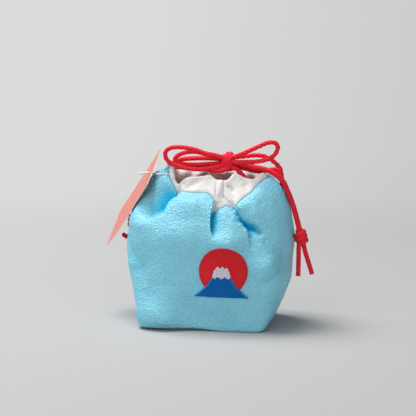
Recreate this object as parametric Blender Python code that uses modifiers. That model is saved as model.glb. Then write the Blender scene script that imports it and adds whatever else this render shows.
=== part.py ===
"""Drawstring pouch: a boxed cloth bag with a gathered mouth, two drawcords tied in a bow and a hang tag."""
import math

import bmesh
import bpy
from mathutils import Matrix, Vector

MM = 0.001

# The bag: the origin is the middle of its flat base, the front faces -Y and Z is up.
RIM_HEIGHT = 100.5 * MM
BULGE_HEIGHT = 53.0 * MM
BASE_HALF_WIDTH = 43.5 * MM
BASE_HALF_DEPTH = 31.0 * MM
BULGE_HALF_WIDTH = 55.8 * MM
BULGE_HALF_DEPTH = 37.0 * MM
MOUTH_HALF_WIDTH = 37.5 * MM
MOUTH_HALF_DEPTH = 13.5 * MM
MOUTH_OFFSET = 3.2 * MM
OFFSET_START_HEIGHT = 68.0 * MM
OFFSET_END_HEIGHT = 92.0 * MM

# Cloths, and the gap that touching pieces keep.
CLOTH = 1.0 * MM
LINING_CLOTH = 0.6 * MM
GAP = 0.3 * MM
SEAM_GAP = 0.6 * MM
LAYER_SLACK = 1.1 * MM
CHANNEL_SLACK = 1.3 * MM
WELD = 0.00001

# Folds of the gathered cloth: depth at the line of the fold, and half the width of the valley.
FRONT_FOLD_DEPTH = 4.2 * MM
BACK_FOLD_DEPTH = 3.4 * MM
FOLD_HALF_WIDTH = 4.4 * MM
RIM_FOLD_SHARE = 0.35
FOLD_GROWTH_SHARE = 0.4
FOLD_FADE_START_SHARE = 0.45

# The drawcords, and the slit in each side seam where they come out of their channel.
CORD = 2.5 * MM
CORD_POINT_SPACING = 2.0 * CORD
UPPER_CORD_DROP = 5.8 * MM
LOWER_CORD_DROP = 9.6 * MM
CHANNEL_DEPTH = 15.0 * MM
CHANNEL_RISE_SHARE = 0.3
SLIT_DEPTH = 11.0 * MM
SLIT_HALF_WIDTH = 6.5 * MM
SLIT_FLAT_SHARE = 0.55

# Knots: half sizes across, front to back and up.
BOW_RISE = 10.0 * MM
RIGHT_STOPPER_DROP = 39.7 * MM
LEFT_STOPPER_DROP = 34.5 * MM
BOW_CENTRE = Vector((13.0 * MM, -4.0 * MM, RIM_HEIGHT + BOW_RISE))
BOW_HALF_SIZES = Vector((3.3 * MM, 6.2 * MM, 6.3 * MM))
STOPPER_HALF_SIZES = Vector((4.5 * MM, 4.4 * MM, 5.9 * MM))
RIGHT_STOPPER_CENTRE = Vector((62.1 * MM, -2.0 * MM, RIM_HEIGHT - RIGHT_STOPPER_DROP))
LEFT_STOPPER_CENTRE = Vector((-57.6 * MM, 19.2 * MM, RIM_HEIGHT - LEFT_STOPPER_DROP))

# The hang tag and the plastic loop that holds it.
TAG_LENGTH = 70.0 * MM
TAG_WIDTH = 40.0 * MM
TAG_THICKNESS = 0.5 * MM
TAG_CORNER = 1.5 * MM
TAG_HOLE_RADIUS = 1.6 * MM
TAG_HOLE_MARGIN = 8.5 * MM
FILAMENT = 0.9 * MM

# Embroidery on the front: a sun behind a snow-topped mountain.
SUN_CENTRE_X = 14.8 * MM
SUN_CENTRE_Z = 40.7 * MM
SUN_RADIUS = 16.8 * MM
SUN_START_SHARE = -0.1056
SUN_END_SHARE = 0.6083
STITCH_THICKNESS = 0.5 * MM
MOUNTAIN_CENTRE_X = 13.9 * MM
MOUNTAIN_BASE_Z = 24.0 * MM
MOUNTAIN_TOP_Z = 44.8 * MM
MOUNTAIN_BASE_HALF_WIDTH = 18.2 * MM
MOUNTAIN_TOP_HALF_WIDTH = 5.0 * MM
SNOW_HEIGHT = 7.4 * MM
SNOW_SCALLOP = 0.9 * MM
MOTIF_GAP = 0.35 * MM

# Unit numbers of the shapes: exponents of the bag's plan and profile, and mesh counts.
PLAN_POWER_BASE = 5.0
PLAN_POWER_BULGE = 2.7
PLAN_POWER_MOUTH = 2.3
LOWER_SWELL_POWER = 2.2
UPPER_WIDTH_POWER = 2.5
UPPER_DEPTH_POWER = 3.0
UPRIGHT_SHARE = 1.12
KNOT_POWER = 5.0
STOPPER_POWER = 2.6
PANEL_COLUMNS = 36
PANEL_ROWS = 12
YOKE_ROWS = 4
YOKE_END_TRIM_SHARE = 0.12
YOKE_LEAST_HEIGHT = 2.5 * MM
LINING_COLUMNS = 60
LINING_FLOOR_ROWS = 2
LINING_WALL_ROWS = 11
LINING_TURNED_ROWS = 2
LINING_ROWS = LINING_FLOOR_ROWS + LINING_WALL_ROWS + LINING_TURNED_ROWS
ROW_CROWDING_POWER = 1.5
BASE_CORNERS = 52
CURVE_STEPS = 16
CHANNEL_STEPS = 240
SUN_STEPS = 60
KNOT_SEGMENTS = 16
STOPPER_SEGMENTS = 14
TAG_CORNER_STEPS = 3
HOLE_STEPS = 16
SUN_COLUMNS = 30
SUN_ROWS = 4
MOUNTAIN_COLUMNS = 12
MOUNTAIN_ROWS = 6
SNOW_ROWS = 3
SNOW_SCALLOPS = 3
NORMAL_STEP_TURN = 0.01
NORMAL_STEP_RISE = 0.5 * MM

# Places round the bag are shares of a full turn, from the right end by way of the back.
RIGHT_SEAM_SHARE = 0.028
LEFT_SEAM_SHARE = 0.472

# Height of the rim, as a share of RIM_HEIGHT, at places round the bag.
RIM_SHARES = (
    (0.028, 0.970), (0.111, 1.010), (0.194, 0.985), (0.264, 1.012), (0.333, 0.985),
    (0.403, 1.010), (0.472, 0.985), (0.505, 1.010), (0.545, 1.045), (0.586, 1.062),
    (0.631, 0.960), (0.664, 0.996), (0.700, 1.002), (0.744, 1.012), (0.761, 0.984),
    (0.785, 0.984), (0.819, 1.026), (0.839, 1.003), (0.875, 0.988), (0.928, 1.030),
    (0.953, 1.019), (0.985, 0.995),
)

# Lower edge of the white yokes, as a share of RIM_HEIGHT.
SNOWLINE_SHARES = (
    (0.028, 1.120), (0.075, 0.975), (0.160, 0.900), (0.250, 0.830), (0.340, 0.900),
    (0.425, 0.975), (0.472, 1.120), (0.555, 1.120), (0.576, 1.035), (0.626, 0.950),
    (0.668, 0.901), (0.707, 0.905), (0.739, 0.905), (0.765, 0.830), (0.791, 0.828),
    (0.811, 0.828), (0.844, 0.907), (0.895, 0.973), (0.945, 1.004), (0.975, 1.120),
)

# Lines of the folds, from the rim down: shares of BULGE_HALF_WIDTH across and of RIM_HEIGHT up.
FRONT_FOLD_SHARES = (
    ((-0.40, 1.06), (-0.37, 0.93), (-0.36, 0.90), (-0.46, 0.83), (-0.55, 0.79), (-0.65, 0.75)),
    ((0.07, 1.06), (0.10, 0.92), (0.11, 0.84), (0.10, 0.78), (0.14, 0.73), (0.19, 0.68)),
    ((0.20, 1.06), (0.21, 0.97), (0.35, 0.83), (0.50, 0.76), (0.59, 0.71), (0.70, 0.68)),
)
BACK_FOLD_SHARES = (
    ((-0.42, 1.06), (-0.46, 0.90), (-0.55, 0.76), (-0.60, 0.66)),
    ((-0.02, 1.06), (-0.03, 0.90), (-0.06, 0.76), (-0.08, 0.62)),
    ((0.36, 1.06), (0.40, 0.90), (0.46, 0.78), (0.52, 0.68)),
)

# Routes of the free cords, in millimetres: across, front to back, and up from the level of the rim.
BOW_LOOP_LEFT_FRONT_ROUTE = (
    (9.4, -8.3, 13.7), (3.8, -8.3, 14.7), (-2.3, -8.3, 15.8), (-8.4, -8.3, 17.9), (-15.2, -8.3, 19.3),
    (-21.4, -8.3, 19.6), (-26.2, -8.3, 18.8), (-29.3, -8.3, 16.4), (-29.6, -8.3, 13.1),
    (-27.8, -8.3, 9.9), (-24.2, -8.3, 7.8), (-18.0, -8.3, 6.0), (-11.9, -8.3, 5.1), (-5.7, -8.3, 4.9),
    (1.1, -8.3, 5.8), (5.5, -8.3, 6.7), (9.4, -8.3, 7.3),
)
BOW_LOOP_LEFT_REAR_ROUTE = (
    (9.4, -5.4, 12.3), (2.0, -5.4, 13.1), (-4.2, -5.4, 14.1), (-9.0, -5.4, 14.7), (-13.8, -5.4, 14.5),
    (-18.6, -5.4, 13.7), (-22.2, -5.4, 12.2), (-23.4, -5.4, 10.1), (-20.9, -5.4, 8.5),
    (-15.9, -5.4, 7.7), (-7.6, -5.4, 7.7), (-1.0, -5.4, 8.2), (9.4, -5.4, 8.8),
)
BOW_LOOP_RIGHT_FRONT_ROUTE = (
    (16.6, -8.3, 13.7), (22.0, -8.3, 15.3), (28.0, -8.3, 18.0), (34.7, -8.3, 21.1), (39.4, -8.3, 23.2),
    (43.4, -8.3, 23.7), (46.1, -8.3, 22.5), (46.8, -8.3, 20.0), (45.8, -8.3, 17.0), (43.5, -8.3, 14.3),
    (39.1, -8.3, 12.0), (32.8, -8.3, 10.7), (26.7, -8.3, 10.3), (21.0, -8.3, 10.1), (16.6, -8.3, 10.1),
)
BOW_LOOP_RIGHT_SMALL_ROUTE = (
    (16.7, -7.6, 6.3), (18.6, -7.6, 5.8), (20.8, -7.1, 3.9), (22.8, -6.0, 1.4), (23.6, -4.6, -0.9),
    (23.0, -2.9, -2.1), (21.4, -2.3, -1.1), (20.4, -2.8, 1.5), (19.3, -3.6, 4.1), (18.2, -4.0, 5.2),
    (16.7, -4.1, 5.6),
)
LEFT_LEAD_FRONT_ROUTE = (
    (9.4, -2.5, 6.7), (2.0, -2.5, 6.5), (-8.0, -2.3, 5.9), (-18.0, -1.6, 5.5), (-27.0, -0.8, 5.5),
    (-32.6, 0.4, 5.3), (-36.4, 1.3, 3.5), (-39.2, 1.7, 0.5), (-41.9, 1.7, -4.2),
)
LEFT_LEAD_REAR_ROUTE = (
    (9.4, 0.4, 6.9), (2.0, 0.5, 6.5), (-8.0, 0.8, 5.7), (-18.0, 1.6, 5.1), (-27.0, 2.5, 5.1),
    (-32.6, 3.6, 4.9), (-36.4, 4.4, 3.3), (-39.2, 4.6, 0.5), (-41.9, 4.6, -4.2),
)
RIGHT_LEAD_UPPER_ROUTE = (
    (16.6, 0.4, 12.4), (20.7, 0.4, 12.9), (25.4, 0.5, 13.5), (30.2, 0.8, 14.0), (34.9, 1.4, 13.7),
    (39.0, 2.2, 12.3), (42.9, 3.4, 9.5), (45.8, 4.4, 6.5), (47.2, 4.6, 4.1), (48.1, 4.6, -1.1),
)
RIGHT_LEAD_LOWER_ROUTE = (
    (16.6, 0.4, 7.3), (20.8, 0.4, 5.6), (25.6, 0.4, 4.4), (30.4, 0.4, 3.4), (35.0, 0.5, 3.1),
    (40.0, 1.2, 4.1), (43.9, 1.6, 4.7), (46.6, 1.7, 3.5), (48.1, 1.7, -1.1),
)
RIGHT_TAIL_UPPER_ROUTE = (
    (16.6, 0.0, 8.9), (21.4, 0.0, 8.7), (26.1, 0.0, 7.8), (32.2, 0.2, 6.5), (37.3, 0.4, 5.5),
    (42.3, 0.7, 3.7), (47.1, 1.0, 0.5), (50.6, 1.2, -3.2),
)
RIGHT_TAIL_LOWER_ROUTE = (
    (51.1, 1.2, -4.0), (53.2, 1.4, -8.9), (55.6, 1.6, -14.6), (57.6, 1.8, -20.6), (59.5, 2.0, -27.3),
    (60.9, 2.0, -33.2),
)
LEFT_TAIL_UPPER_ROUTE = (
    (9.4, 0.0, 11.3), (0.0, 0.1, 11.7), (-10.0, 0.6, 11.5), (-20.0, 1.8, 10.9), (-27.5, 3.6, 9.7),
    (-33.4, 7.3, 7.7), (-37.2, 11.0, 3.1), (-40.0, 14.0, -3.1), (-43.4, 16.8, -10.7),
    (-48.2, 19.0, -19.3),
)
LEFT_TAIL_LOWER_ROUTE = (
    (-48.6, 19.2, -20.0), (-52.2, 20.3, -24.3), (-55.4, 20.6, -28.1),
)
RIGHT_TAIL_END_FRONT_ROUTE = (
    (61.0, -3.4, -46.0), (60.9, -3.6, -53.0), (60.8, -3.7, -60.1), (60.7, -3.7, -67.1),
)
RIGHT_TAIL_END_REAR_ROUTE = (
    (63.8, -0.6, -46.0), (65.6, -0.5, -52.7), (67.8, -0.4, -59.5), (69.9, -0.4, -66.1),
)
LEFT_TAIL_END_FRONT_ROUTE = (
    (-58.4, 17.6, -41.1), (-59.4, 15.6, -44.5), (-61.2, 11.8, -45.5), (-63.2, 7.8, -43.5),
)
LEFT_TAIL_END_REAR_ROUTE = (
    (-57.4, 21.2, -40.9), (-57.8, 22.2, -47.7), (-57.8, 22.8, -54.7), (-57.0, 23.2, -61.7),
)
RIGHT_TAIL_FRONT_LANE = -5.4 * MM
RIGHT_TAIL_REAR_LANE = -2.5 * MM
LEFT_TAIL_FRONT_LANE = -2.5 * MM
LEFT_TAIL_REAR_LANE = 0.4 * MM
SLIT_LANES = (1.7 * MM, 4.6 * MM)

# Where each cord turns up outside its slit and where that stretch ends: across, and up from the rim.
RIGHT_CORNER_ROUTE = (48.9, -6.7)
RIGHT_EXIT_ROUTE = (48.2, -1.8)
LEFT_CORNER_ROUTE = (-44.6, -9.6)
LEFT_EXIT_ROUTE = (-42.2, -4.8)

# Hinges of the pieces that move.
RIGHT_TASSEL_DROP = 2.8 * MM
LEFT_TASSEL_DROP = 19.6 * MM
TAG_HINGE_RISE = 1.2 * MM
RIGHT_TASSEL_HINGE = Vector((51.9 * MM, -2.8 * MM, RIM_HEIGHT - RIGHT_TASSEL_DROP))
LEFT_TASSEL_HINGE = Vector((-48.4 * MM, 18.0 * MM, RIM_HEIGHT - LEFT_TASSEL_DROP))
TAG_HINGE = Vector((-41.0 * MM, -3.0 * MM, RIM_HEIGHT + TAG_HINGE_RISE))
TAG_LONG_AXIS = Vector((-0.530, 0.485, -0.696))
TAG_CROSS_AXIS = Vector((-0.056, -0.839, -0.542))
FILAMENT_ROUTE = (
    (-34.5, -3.45, 0.0), (-36.6, -3.0, 1.0), (-38.8, -2.9, 1.4), (-41.0, -3.0, 1.2), (-44.0, -3.4, 2.1),
    (-47.2, -3.8, 2.4), (-50.4, -4.0, 2.1),
)


def blend(start, end, share):
    return start + (end - start) * share


def smooth_step(share):
    share = min(max(share, 0.0), 1.0)
    return share * share * (3.0 - 2.0 * share)


def read_shares(table, turn):
    """Value of a table of (place, value) shares at a place round the bag, smoothed between its points."""
    place = turn % 1.0
    for index, (start, value) in enumerate(table):
        end, next_value = table[(index + 1) % len(table)]
        span = (end - start) % 1.0
        if (place - start) % 1.0 < span:
            return blend(value, next_value, smooth_step(((place - start) % 1.0) / span))
    return table[0][1]


def rim_height(turn):
    return RIM_HEIGHT * read_shares(RIM_SHARES, turn)


def channel_height(turn, drop):
    """Height in the cord channel, which follows the rim's rises and dips only in part."""
    return RIM_HEIGHT + (rim_height(turn) - RIM_HEIGHT) * CHANNEL_RISE_SHARE - drop


def snowline_height(turn):
    return RIM_HEIGHT * read_shares(SNOWLINE_SHARES, turn)


def lower_swell(height, base, bulge):
    """Half size of the bag at a height below its bulge."""
    return bulge - (bulge - base) * (1.0 - max(height, 0.0) / BULGE_HEIGHT) ** LOWER_SWELL_POWER


def gather_share(height):
    """How far a height lies between the bulge, 0, and the gathered rim, 1."""
    return (height - BULGE_HEIGHT) / (RIM_HEIGHT - BULGE_HEIGHT)


def half_width_at(height):
    """Half width: it swells from the base to the bulge and is drawn in to the mouth."""
    if height < BULGE_HEIGHT:
        return lower_swell(height, BASE_HALF_WIDTH, BULGE_HALF_WIDTH)
    return blend(BULGE_HALF_WIDTH, MOUTH_HALF_WIDTH, gather_share(height) ** UPPER_WIDTH_POWER)


def half_depth_at(height):
    """Half depth: like the half width, but the rim ends upright."""
    if height < BULGE_HEIGHT:
        return lower_swell(height, BASE_HALF_DEPTH, BULGE_HALF_DEPTH)
    bend = min(gather_share(height) / UPRIGHT_SHARE, 1.0) * math.pi / 2.0
    return blend(BULGE_HALF_DEPTH, MOUTH_HALF_DEPTH, math.sin(bend) ** UPPER_DEPTH_POWER)


def plan_power(height):
    if height < BULGE_HEIGHT:
        return blend(PLAN_POWER_BASE, PLAN_POWER_BULGE, smooth_step(height / BULGE_HEIGHT))
    return blend(PLAN_POWER_BULGE, PLAN_POWER_MOUTH, min(gather_share(height), 1.0))


def plan_sizes(height):
    """Middle, half width and half depth of the bag at a height."""
    rise = (height - OFFSET_START_HEIGHT) / (OFFSET_END_HEIGHT - OFFSET_START_HEIGHT)
    middle = MOUTH_OFFSET * smooth_step(rise)
    return middle, half_width_at(height), half_depth_at(height)


def fold_depth(lines, depth, across, height):
    """How far the cloth dips at a point, from its distance to the nearest stretch of each fold's line."""
    total = 0.0
    point = Vector((across, height))
    for line in lines:
        stops = [Vector((x * BULGE_HALF_WIDTH, z * RIM_HEIGHT)) for x, z in line]
        best = 0.0
        for index in range(len(stops) - 1):
            start, end = stops[index], stops[index + 1]
            run = end - start
            share = min(max((point - start).dot(run) / run.length_squared, 0.0), 1.0)
            reach = (point - (start + run * share)).length / FOLD_HALF_WIDTH
            along = (index + share) / (len(stops) - 1)
            swelling = blend(RIM_FOLD_SHARE, 1.0, smooth_step(along / FOLD_GROWTH_SHARE))
            fade = 1.0 - smooth_step((along - FOLD_FADE_START_SHARE) / (1.0 - FOLD_FADE_START_SHARE))
            best = max(best, math.exp(-reach * reach) * swelling * fade)
        total = max(total, best)
    return depth * total


def bag_skin(turn, height):
    """Point on the outside of the bag at a place round it and a height."""
    middle, half_width, half_depth = plan_sizes(height)
    power = plan_power(height)
    angle = math.tau * turn
    cosine, sine = math.cos(angle), math.sin(angle)
    reach = (abs(cosine) ** power + abs(sine) ** power) ** (-1.0 / power)
    x = middle + half_width * cosine * reach
    y = half_depth * sine * reach
    if sine < 0.0:
        y += fold_depth(FRONT_FOLD_SHARES, FRONT_FOLD_DEPTH, x, height) * smooth_step(-sine)
    else:
        y -= fold_depth(BACK_FOLD_SHARES, BACK_FOLD_DEPTH, x, height) * smooth_step(sine)
    return Vector((x, y, height))


def bag_layer(turn, height, inset):
    """Point inside or outside the bag's skin, square to it: a positive inset lies inwards."""
    along = bag_skin(turn + NORMAL_STEP_TURN, height) - bag_skin(turn - NORMAL_STEP_TURN, height)
    rise = bag_skin(turn, height + NORMAL_STEP_RISE) - bag_skin(turn, height - NORMAL_STEP_RISE)
    return bag_skin(turn, height) - along.cross(rise).normalized() * inset


def front_face(across, height, lift):
    """Point on the lower front of the bag at a place across it, raised off the cloth."""
    def skin(x, z):
        middle, half_width, half_depth = plan_sizes(z)
        power = plan_power(z)
        y = -half_depth * (1.0 - abs((x - middle) / half_width) ** power) ** (1.0 / power)
        return Vector((x, y + fold_depth(FRONT_FOLD_SHARES, FRONT_FOLD_DEPTH, x, z), z))

    step = NORMAL_STEP_RISE
    along = skin(across + step, height) - skin(across - step, height)
    rise = skin(across, height + step) - skin(across, height - step)
    return skin(across, height) + along.cross(rise).normalized() * lift


def make_material(name, colour, roughness, metallic=0.0):
    material = bpy.data.materials.new(name)
    material.use_nodes = True
    shader = material.node_tree.nodes["Principled BSDF"]
    shader.inputs["Base Color"].default_value = (*colour, 1.0)
    shader.inputs["Roughness"].default_value = roughness
    shader.inputs["Metallic"].default_value = metallic
    return material


def add_object(name, data, material, origin=None):
    """Put an object in the pouch's collection, with its origin where it turns."""
    piece = bpy.data.objects.new(name, data)
    data.materials.append(material)
    POUCH.objects.link(piece)
    if origin is not None:
        piece.location = origin
    return piece


def add_sheet(name, columns, rows, place, thickness, material, origin=None):
    """A sheet of cloth: a grid whose points are laid in space by place(u, v), then given its thickness."""
    mesh = bpy.data.meshes.new(name)
    sheet = bmesh.new()
    bmesh.ops.create_grid(sheet, x_segments=columns, y_segments=rows, size=1.0)
    base = origin or Vector((0.0, 0.0, 0.0))
    for vertex in sheet.verts:
        u, v = (vertex.co.x + 1.0) / 2.0, (vertex.co.y + 1.0) / 2.0
        vertex.co = place(u, v) - base
    bmesh.ops.remove_doubles(sheet, verts=sheet.verts, dist=WELD)
    sheet.to_mesh(mesh)
    sheet.free()
    mesh.shade_smooth()
    piece = add_object(name, mesh, material, origin)
    solidify = piece.modifiers.new("thickness", "SOLIDIFY")
    solidify.thickness = thickness
    solidify.offset = -1.0
    return piece


def smooth_route(route, lane=0.0):
    """Points read along a smooth curve through a cord's route, about one spacing apart."""
    stops = [Vector(stop) * MM + Vector((0.0, lane, RIM_HEIGHT)) for stop in route]
    stops = [stops[0] * 2.0 - stops[1]] + stops + [stops[-1] * 2.0 - stops[-2]]
    fine = []
    for index in range(1, len(stops) - 2):
        before, start, end, after = stops[index - 1:index + 3]
        for step in range(CURVE_STEPS):
            t = step / CURVE_STEPS
            fine.append(0.5 * (2.0 * start + (end - before) * t
                               + (2.0 * before - 5.0 * start + 4.0 * end - after) * t * t
                               + (3.0 * start - before - 3.0 * end + after) * t ** 3))
    fine.append(stops[-2])
    return even_points(fine, CORD_POINT_SPACING)


def even_points(fine, spacing):
    """The points at equal distances along a finely drawn line."""
    lengths = [0.0]
    for start, end in zip(fine, fine[1:]):
        lengths.append(lengths[-1] + (end - start).length)
    count = max(2, round(lengths[-1] / spacing))
    points, index = [], 0
    for step in range(count + 1):
        wanted = lengths[-1] * step / count
        while index < len(lengths) - 2 and lengths[index + 1] < wanted:
            index += 1
        share = (wanted - lengths[index]) / (lengths[index + 1] - lengths[index])
        points.append(fine[index].lerp(fine[index + 1], share))
    return points


def add_tube(name, points, diameter, material, origin=None):
    """A round cord or filament along a line of points."""
    base = origin or Vector((0.0, 0.0, 0.0))
    curve = bpy.data.curves.new(name, "CURVE")
    curve.dimensions = "3D"
    curve.bevel_depth = diameter / 2.0
    curve.bevel_resolution = 2
    curve.use_fill_caps = True
    spline = curve.splines.new("POLY")
    spline.points.add(len(points) - 1)
    for target, point in zip(spline.points, points):
        target.co = (*(point - base), 1.0)
    return add_object(name, curve, material, origin)


def add_knot(name, centre, half_sizes, power, segments, material, origin=None):
    """A pulled-tight knot: a rounded lump whose flanks are flat enough for the cords that enter it."""
    base = origin or Vector((0.0, 0.0, 0.0))
    mesh = bpy.data.meshes.new(name)
    lump = bmesh.new()
    bmesh.ops.create_uvsphere(lump, u_segments=segments, v_segments=segments // 2 + 2, radius=1.0)
    for vertex in lump.verts:
        reach = sum(abs(value) ** power for value in vertex.co) ** (-1.0 / power)
        shape = Vector([value * reach * size for value, size in zip(vertex.co, half_sizes)])
        vertex.co = shape + centre - base
    lump.to_mesh(mesh)
    lump.free()
    mesh.shade_smooth()
    return add_object(name, mesh, material, origin)


def seam_turn(seam_share, height, side):
    """Place of a panel's edge beside a side seam: side is 1 towards the back and -1 towards the front."""
    half_depth = plan_sizes(height)[2]
    towards_back = side if seam_share % 1.0 < 0.25 else -side
    return seam_share + towards_back * SEAM_GAP / 2.0 / (math.tau * half_depth)


def slit_drop(turn):
    """How far the blue cloth's top edge drops beside a side seam, where the cords come out."""
    half_depth = plan_sizes(RIM_HEIGHT)[2]
    nearest = min(abs((turn - seam + 0.5) % 1.0 - 0.5) for seam in (RIGHT_SEAM_SHARE, LEFT_SEAM_SHARE))
    share = nearest * math.tau * half_depth / SLIT_HALF_WIDTH
    return SLIT_DEPTH * (1.0 - smooth_step((share - SLIT_FLAT_SHARE) / (1.0 - SLIT_FLAT_SHARE)))


def crowd_rows(share):
    """Rows lie closer together towards the gathered top."""
    return 1.0 - (1.0 - share) ** ROW_CROWDING_POWER


def yoke_columns(start_seam, end_seam):
    """First and last of a panel's columns that the white yoke above it covers."""
    covered = []
    for column in range(PANEL_COLUMNS + 1):
        turn = blend(start_seam, end_seam, column / PANEL_COLUMNS)
        if rim_height(turn) - snowline_height(turn) > YOKE_LEAST_HEIGHT:
            covered.append(column)
    return covered[0], covered[-1]


def add_blue_panel(name, start_seam, end_seam, side):
    """Front or back of the outer bag, from its bottom edge up to the yoke, the slits and the rim."""
    first, last = yoke_columns(start_seam, end_seam)

    def place(u, v):
        turn = blend(start_seam, end_seam, u)
        top = rim_height(turn) - slit_drop(turn)
        if first <= round(u * PANEL_COLUMNS) <= last:
            top = min(top, snowline_height(turn) - SEAM_GAP / 2.0)
        height = top * crowd_rows(v)
        start = seam_turn(start_seam, height, side)
        end = seam_turn(end_seam, height, side)
        return bag_layer(blend(start, end, u), height, 0.0)

    return add_sheet(name, PANEL_COLUMNS, PANEL_ROWS, place, CLOTH, BLUE_CREPE)


def add_yoke(name, start_seam, end_seam):
    """White upper part of the outer bag, from the snow line to the rim."""
    first, last = yoke_columns(start_seam, end_seam)
    columns = last - first

    def place(u, v):
        column = blend(first + YOKE_END_TRIM_SHARE, last - YOKE_END_TRIM_SHARE, u)
        turn = blend(start_seam, end_seam, column / PANEL_COLUMNS)
        height = blend(snowline_height(turn) + SEAM_GAP / 2.0, rim_height(turn), v)
        return bag_layer(turn, height, 0.0)

    return add_sheet(name, columns, YOKE_ROWS, place, CLOTH, WHITE_COTTON)


def lining_inset(turn, height):
    """Distance of the lining's outer face from the skin: wider over the cord channel than below it."""
    plain = CLOTH + LAYER_SLACK
    room = CORD + CHANNEL_SLACK
    channel_base = channel_height(turn, CHANNEL_DEPTH)
    return plain + room * smooth_step((height - channel_base + room) / room)


def place_lining(u, v):
    """The lining: a floor out from its middle, a wall, and a top edge turned out over the channel."""
    floor_height = CLOTH + GAP + LINING_CLOTH
    step = v * LINING_ROWS
    rim = rim_height(u)
    if step <= LINING_FLOOR_ROWS:
        edge = bag_layer(u, floor_height, lining_inset(u, floor_height))
        middle = Vector((0.0, 0.0, CLOTH + GAP))
        point = middle.lerp(edge, step / LINING_FLOOR_ROWS)
        point.z = CLOTH + GAP if step < LINING_FLOOR_ROWS else floor_height
        return point
    wall_top = rim - CORD / 2.0
    share = (step - LINING_FLOOR_ROWS) / LINING_WALL_ROWS
    if share <= 1.0:
        height = blend(floor_height, wall_top, crowd_rows(share))
        return bag_layer(u, height, lining_inset(u, height))
    turned = (step - LINING_FLOOR_ROWS - LINING_WALL_ROWS) / LINING_TURNED_ROWS
    inset = blend(lining_inset(u, wall_top), CLOTH + LAYER_SLACK, turned)
    height = blend(wall_top, rim, math.sin(min(turned, 1.0) * math.pi / 2.0))
    return bag_layer(u, height, inset)


def add_base_panel():
    """Flat bottom of the outer bag, inside the lower edges of the front and back."""
    mesh = bpy.data.meshes.new("base_panel")
    plate = bmesh.new()
    bmesh.ops.create_circle(plate, cap_ends=True, segments=BASE_CORNERS, radius=1.0)
    for vertex in plate.verts:
        turn = math.atan2(vertex.co.y, vertex.co.x) / math.tau
        edge = bag_layer(turn, 0.0, CLOTH + GAP)
        vertex.co = Vector((edge.x, edge.y, CLOTH))
    plate.to_mesh(mesh)
    plate.free()
    piece = add_object("base_panel", mesh, BLUE_CREPE)
    solidify = piece.modifiers.new("thickness", "SOLIDIFY")
    solidify.thickness = CLOTH
    solidify.offset = -1.0
    return piece


def channel_cord_points(seam_share, drop, exit_corner, exit_end):
    """Route of a drawcord: down into its slit, all the way round in the channel, and back out and up."""
    depth = CLOTH + LAYER_SLACK + CORD / 2.0
    half_depth = plan_sizes(RIM_HEIGHT)[2]
    lead_in = (SLIT_LANES[1] - SLIT_LANES[0] + CORD_POINT_SPACING) / (math.tau * half_depth)
    outward = math.copysign(1.0, exit_corner[0])
    height = channel_height(seam_share, drop)
    fine = []
    for step in range(CHANNEL_STEPS + 1):
        turn = seam_share + lead_in / 2.0 + (1.0 - lead_in) * step / CHANNEL_STEPS
        fine.append(bag_layer(turn, channel_height(turn, drop), depth))
    first, last = (SLIT_LANES[1], SLIT_LANES[0]) if outward > 0.0 else SLIT_LANES
    ends = []
    for lane in (first, last):
        inner = Vector((exit_corner[0] * MM - outward * CORD_POINT_SPACING, lane, height))
        corner = Vector((exit_corner[0] * MM, lane, RIM_HEIGHT + exit_corner[1] * MM))
        end = Vector((exit_end[0] * MM, lane, RIM_HEIGHT + exit_end[1] * MM))
        ends.append([inner, corner, end])
    return even_points(ends[0][::-1] + fine + ends[1], CORD_POINT_SPACING)


def mountain_half_width(height):
    """Half width of the mountain: its flanks flare out towards the foot."""
    share = (MOUNTAIN_TOP_Z - height) / (MOUNTAIN_TOP_Z - MOUNTAIN_BASE_Z)
    return blend(MOUNTAIN_TOP_HALF_WIDTH, MOUNTAIN_BASE_HALF_WIDTH, max(share, 0.0) ** 2)


def snow_edge(u):
    """Height of the lower edge of the snow cap across the mountain, in three scallops."""
    return MOUNTAIN_TOP_Z - SNOW_HEIGHT + SNOW_SCALLOP * abs(math.cos(SNOW_SCALLOPS * math.pi * u))


def place_mountain(u, v):
    height = blend(MOUNTAIN_BASE_Z, snow_edge(u) - MOTIF_GAP, v)
    across = MOUNTAIN_CENTRE_X + mountain_half_width(height) * blend(-1.0, 1.0, u)
    return front_face(across, height, GAP + STITCH_THICKNESS)


def place_snow(u, v):
    height = blend(snow_edge(u), MOUNTAIN_TOP_Z, v)
    across = MOUNTAIN_CENTRE_X + mountain_half_width(height) * blend(-1.0, 1.0, u)
    return front_face(across, height, GAP + STITCH_THICKNESS)


def sun_inner_radius(angle):
    """Distance from the sun's middle, in one direction, at which it comes out from behind the mountain."""
    for step in range(SUN_STEPS):
        radius = SUN_RADIUS * step / SUN_STEPS
        across = SUN_CENTRE_X + radius * math.cos(angle)
        height = SUN_CENTRE_Z + radius * math.sin(angle)
        beside = abs(across - MOUNTAIN_CENTRE_X) - mountain_half_width(height)
        if beside > MOTIF_GAP or height > MOUNTAIN_TOP_Z + MOTIF_GAP:
            return radius
    return SUN_RADIUS


def place_sun(u, v):
    angle = math.tau * blend(SUN_START_SHARE, SUN_END_SHARE, u)
    radius = blend(SUN_RADIUS, sun_inner_radius(angle), v)
    across = SUN_CENTRE_X + radius * math.cos(angle)
    height = SUN_CENTRE_Z + radius * math.sin(angle)
    return front_face(across, height, GAP + STITCH_THICKNESS)


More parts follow.
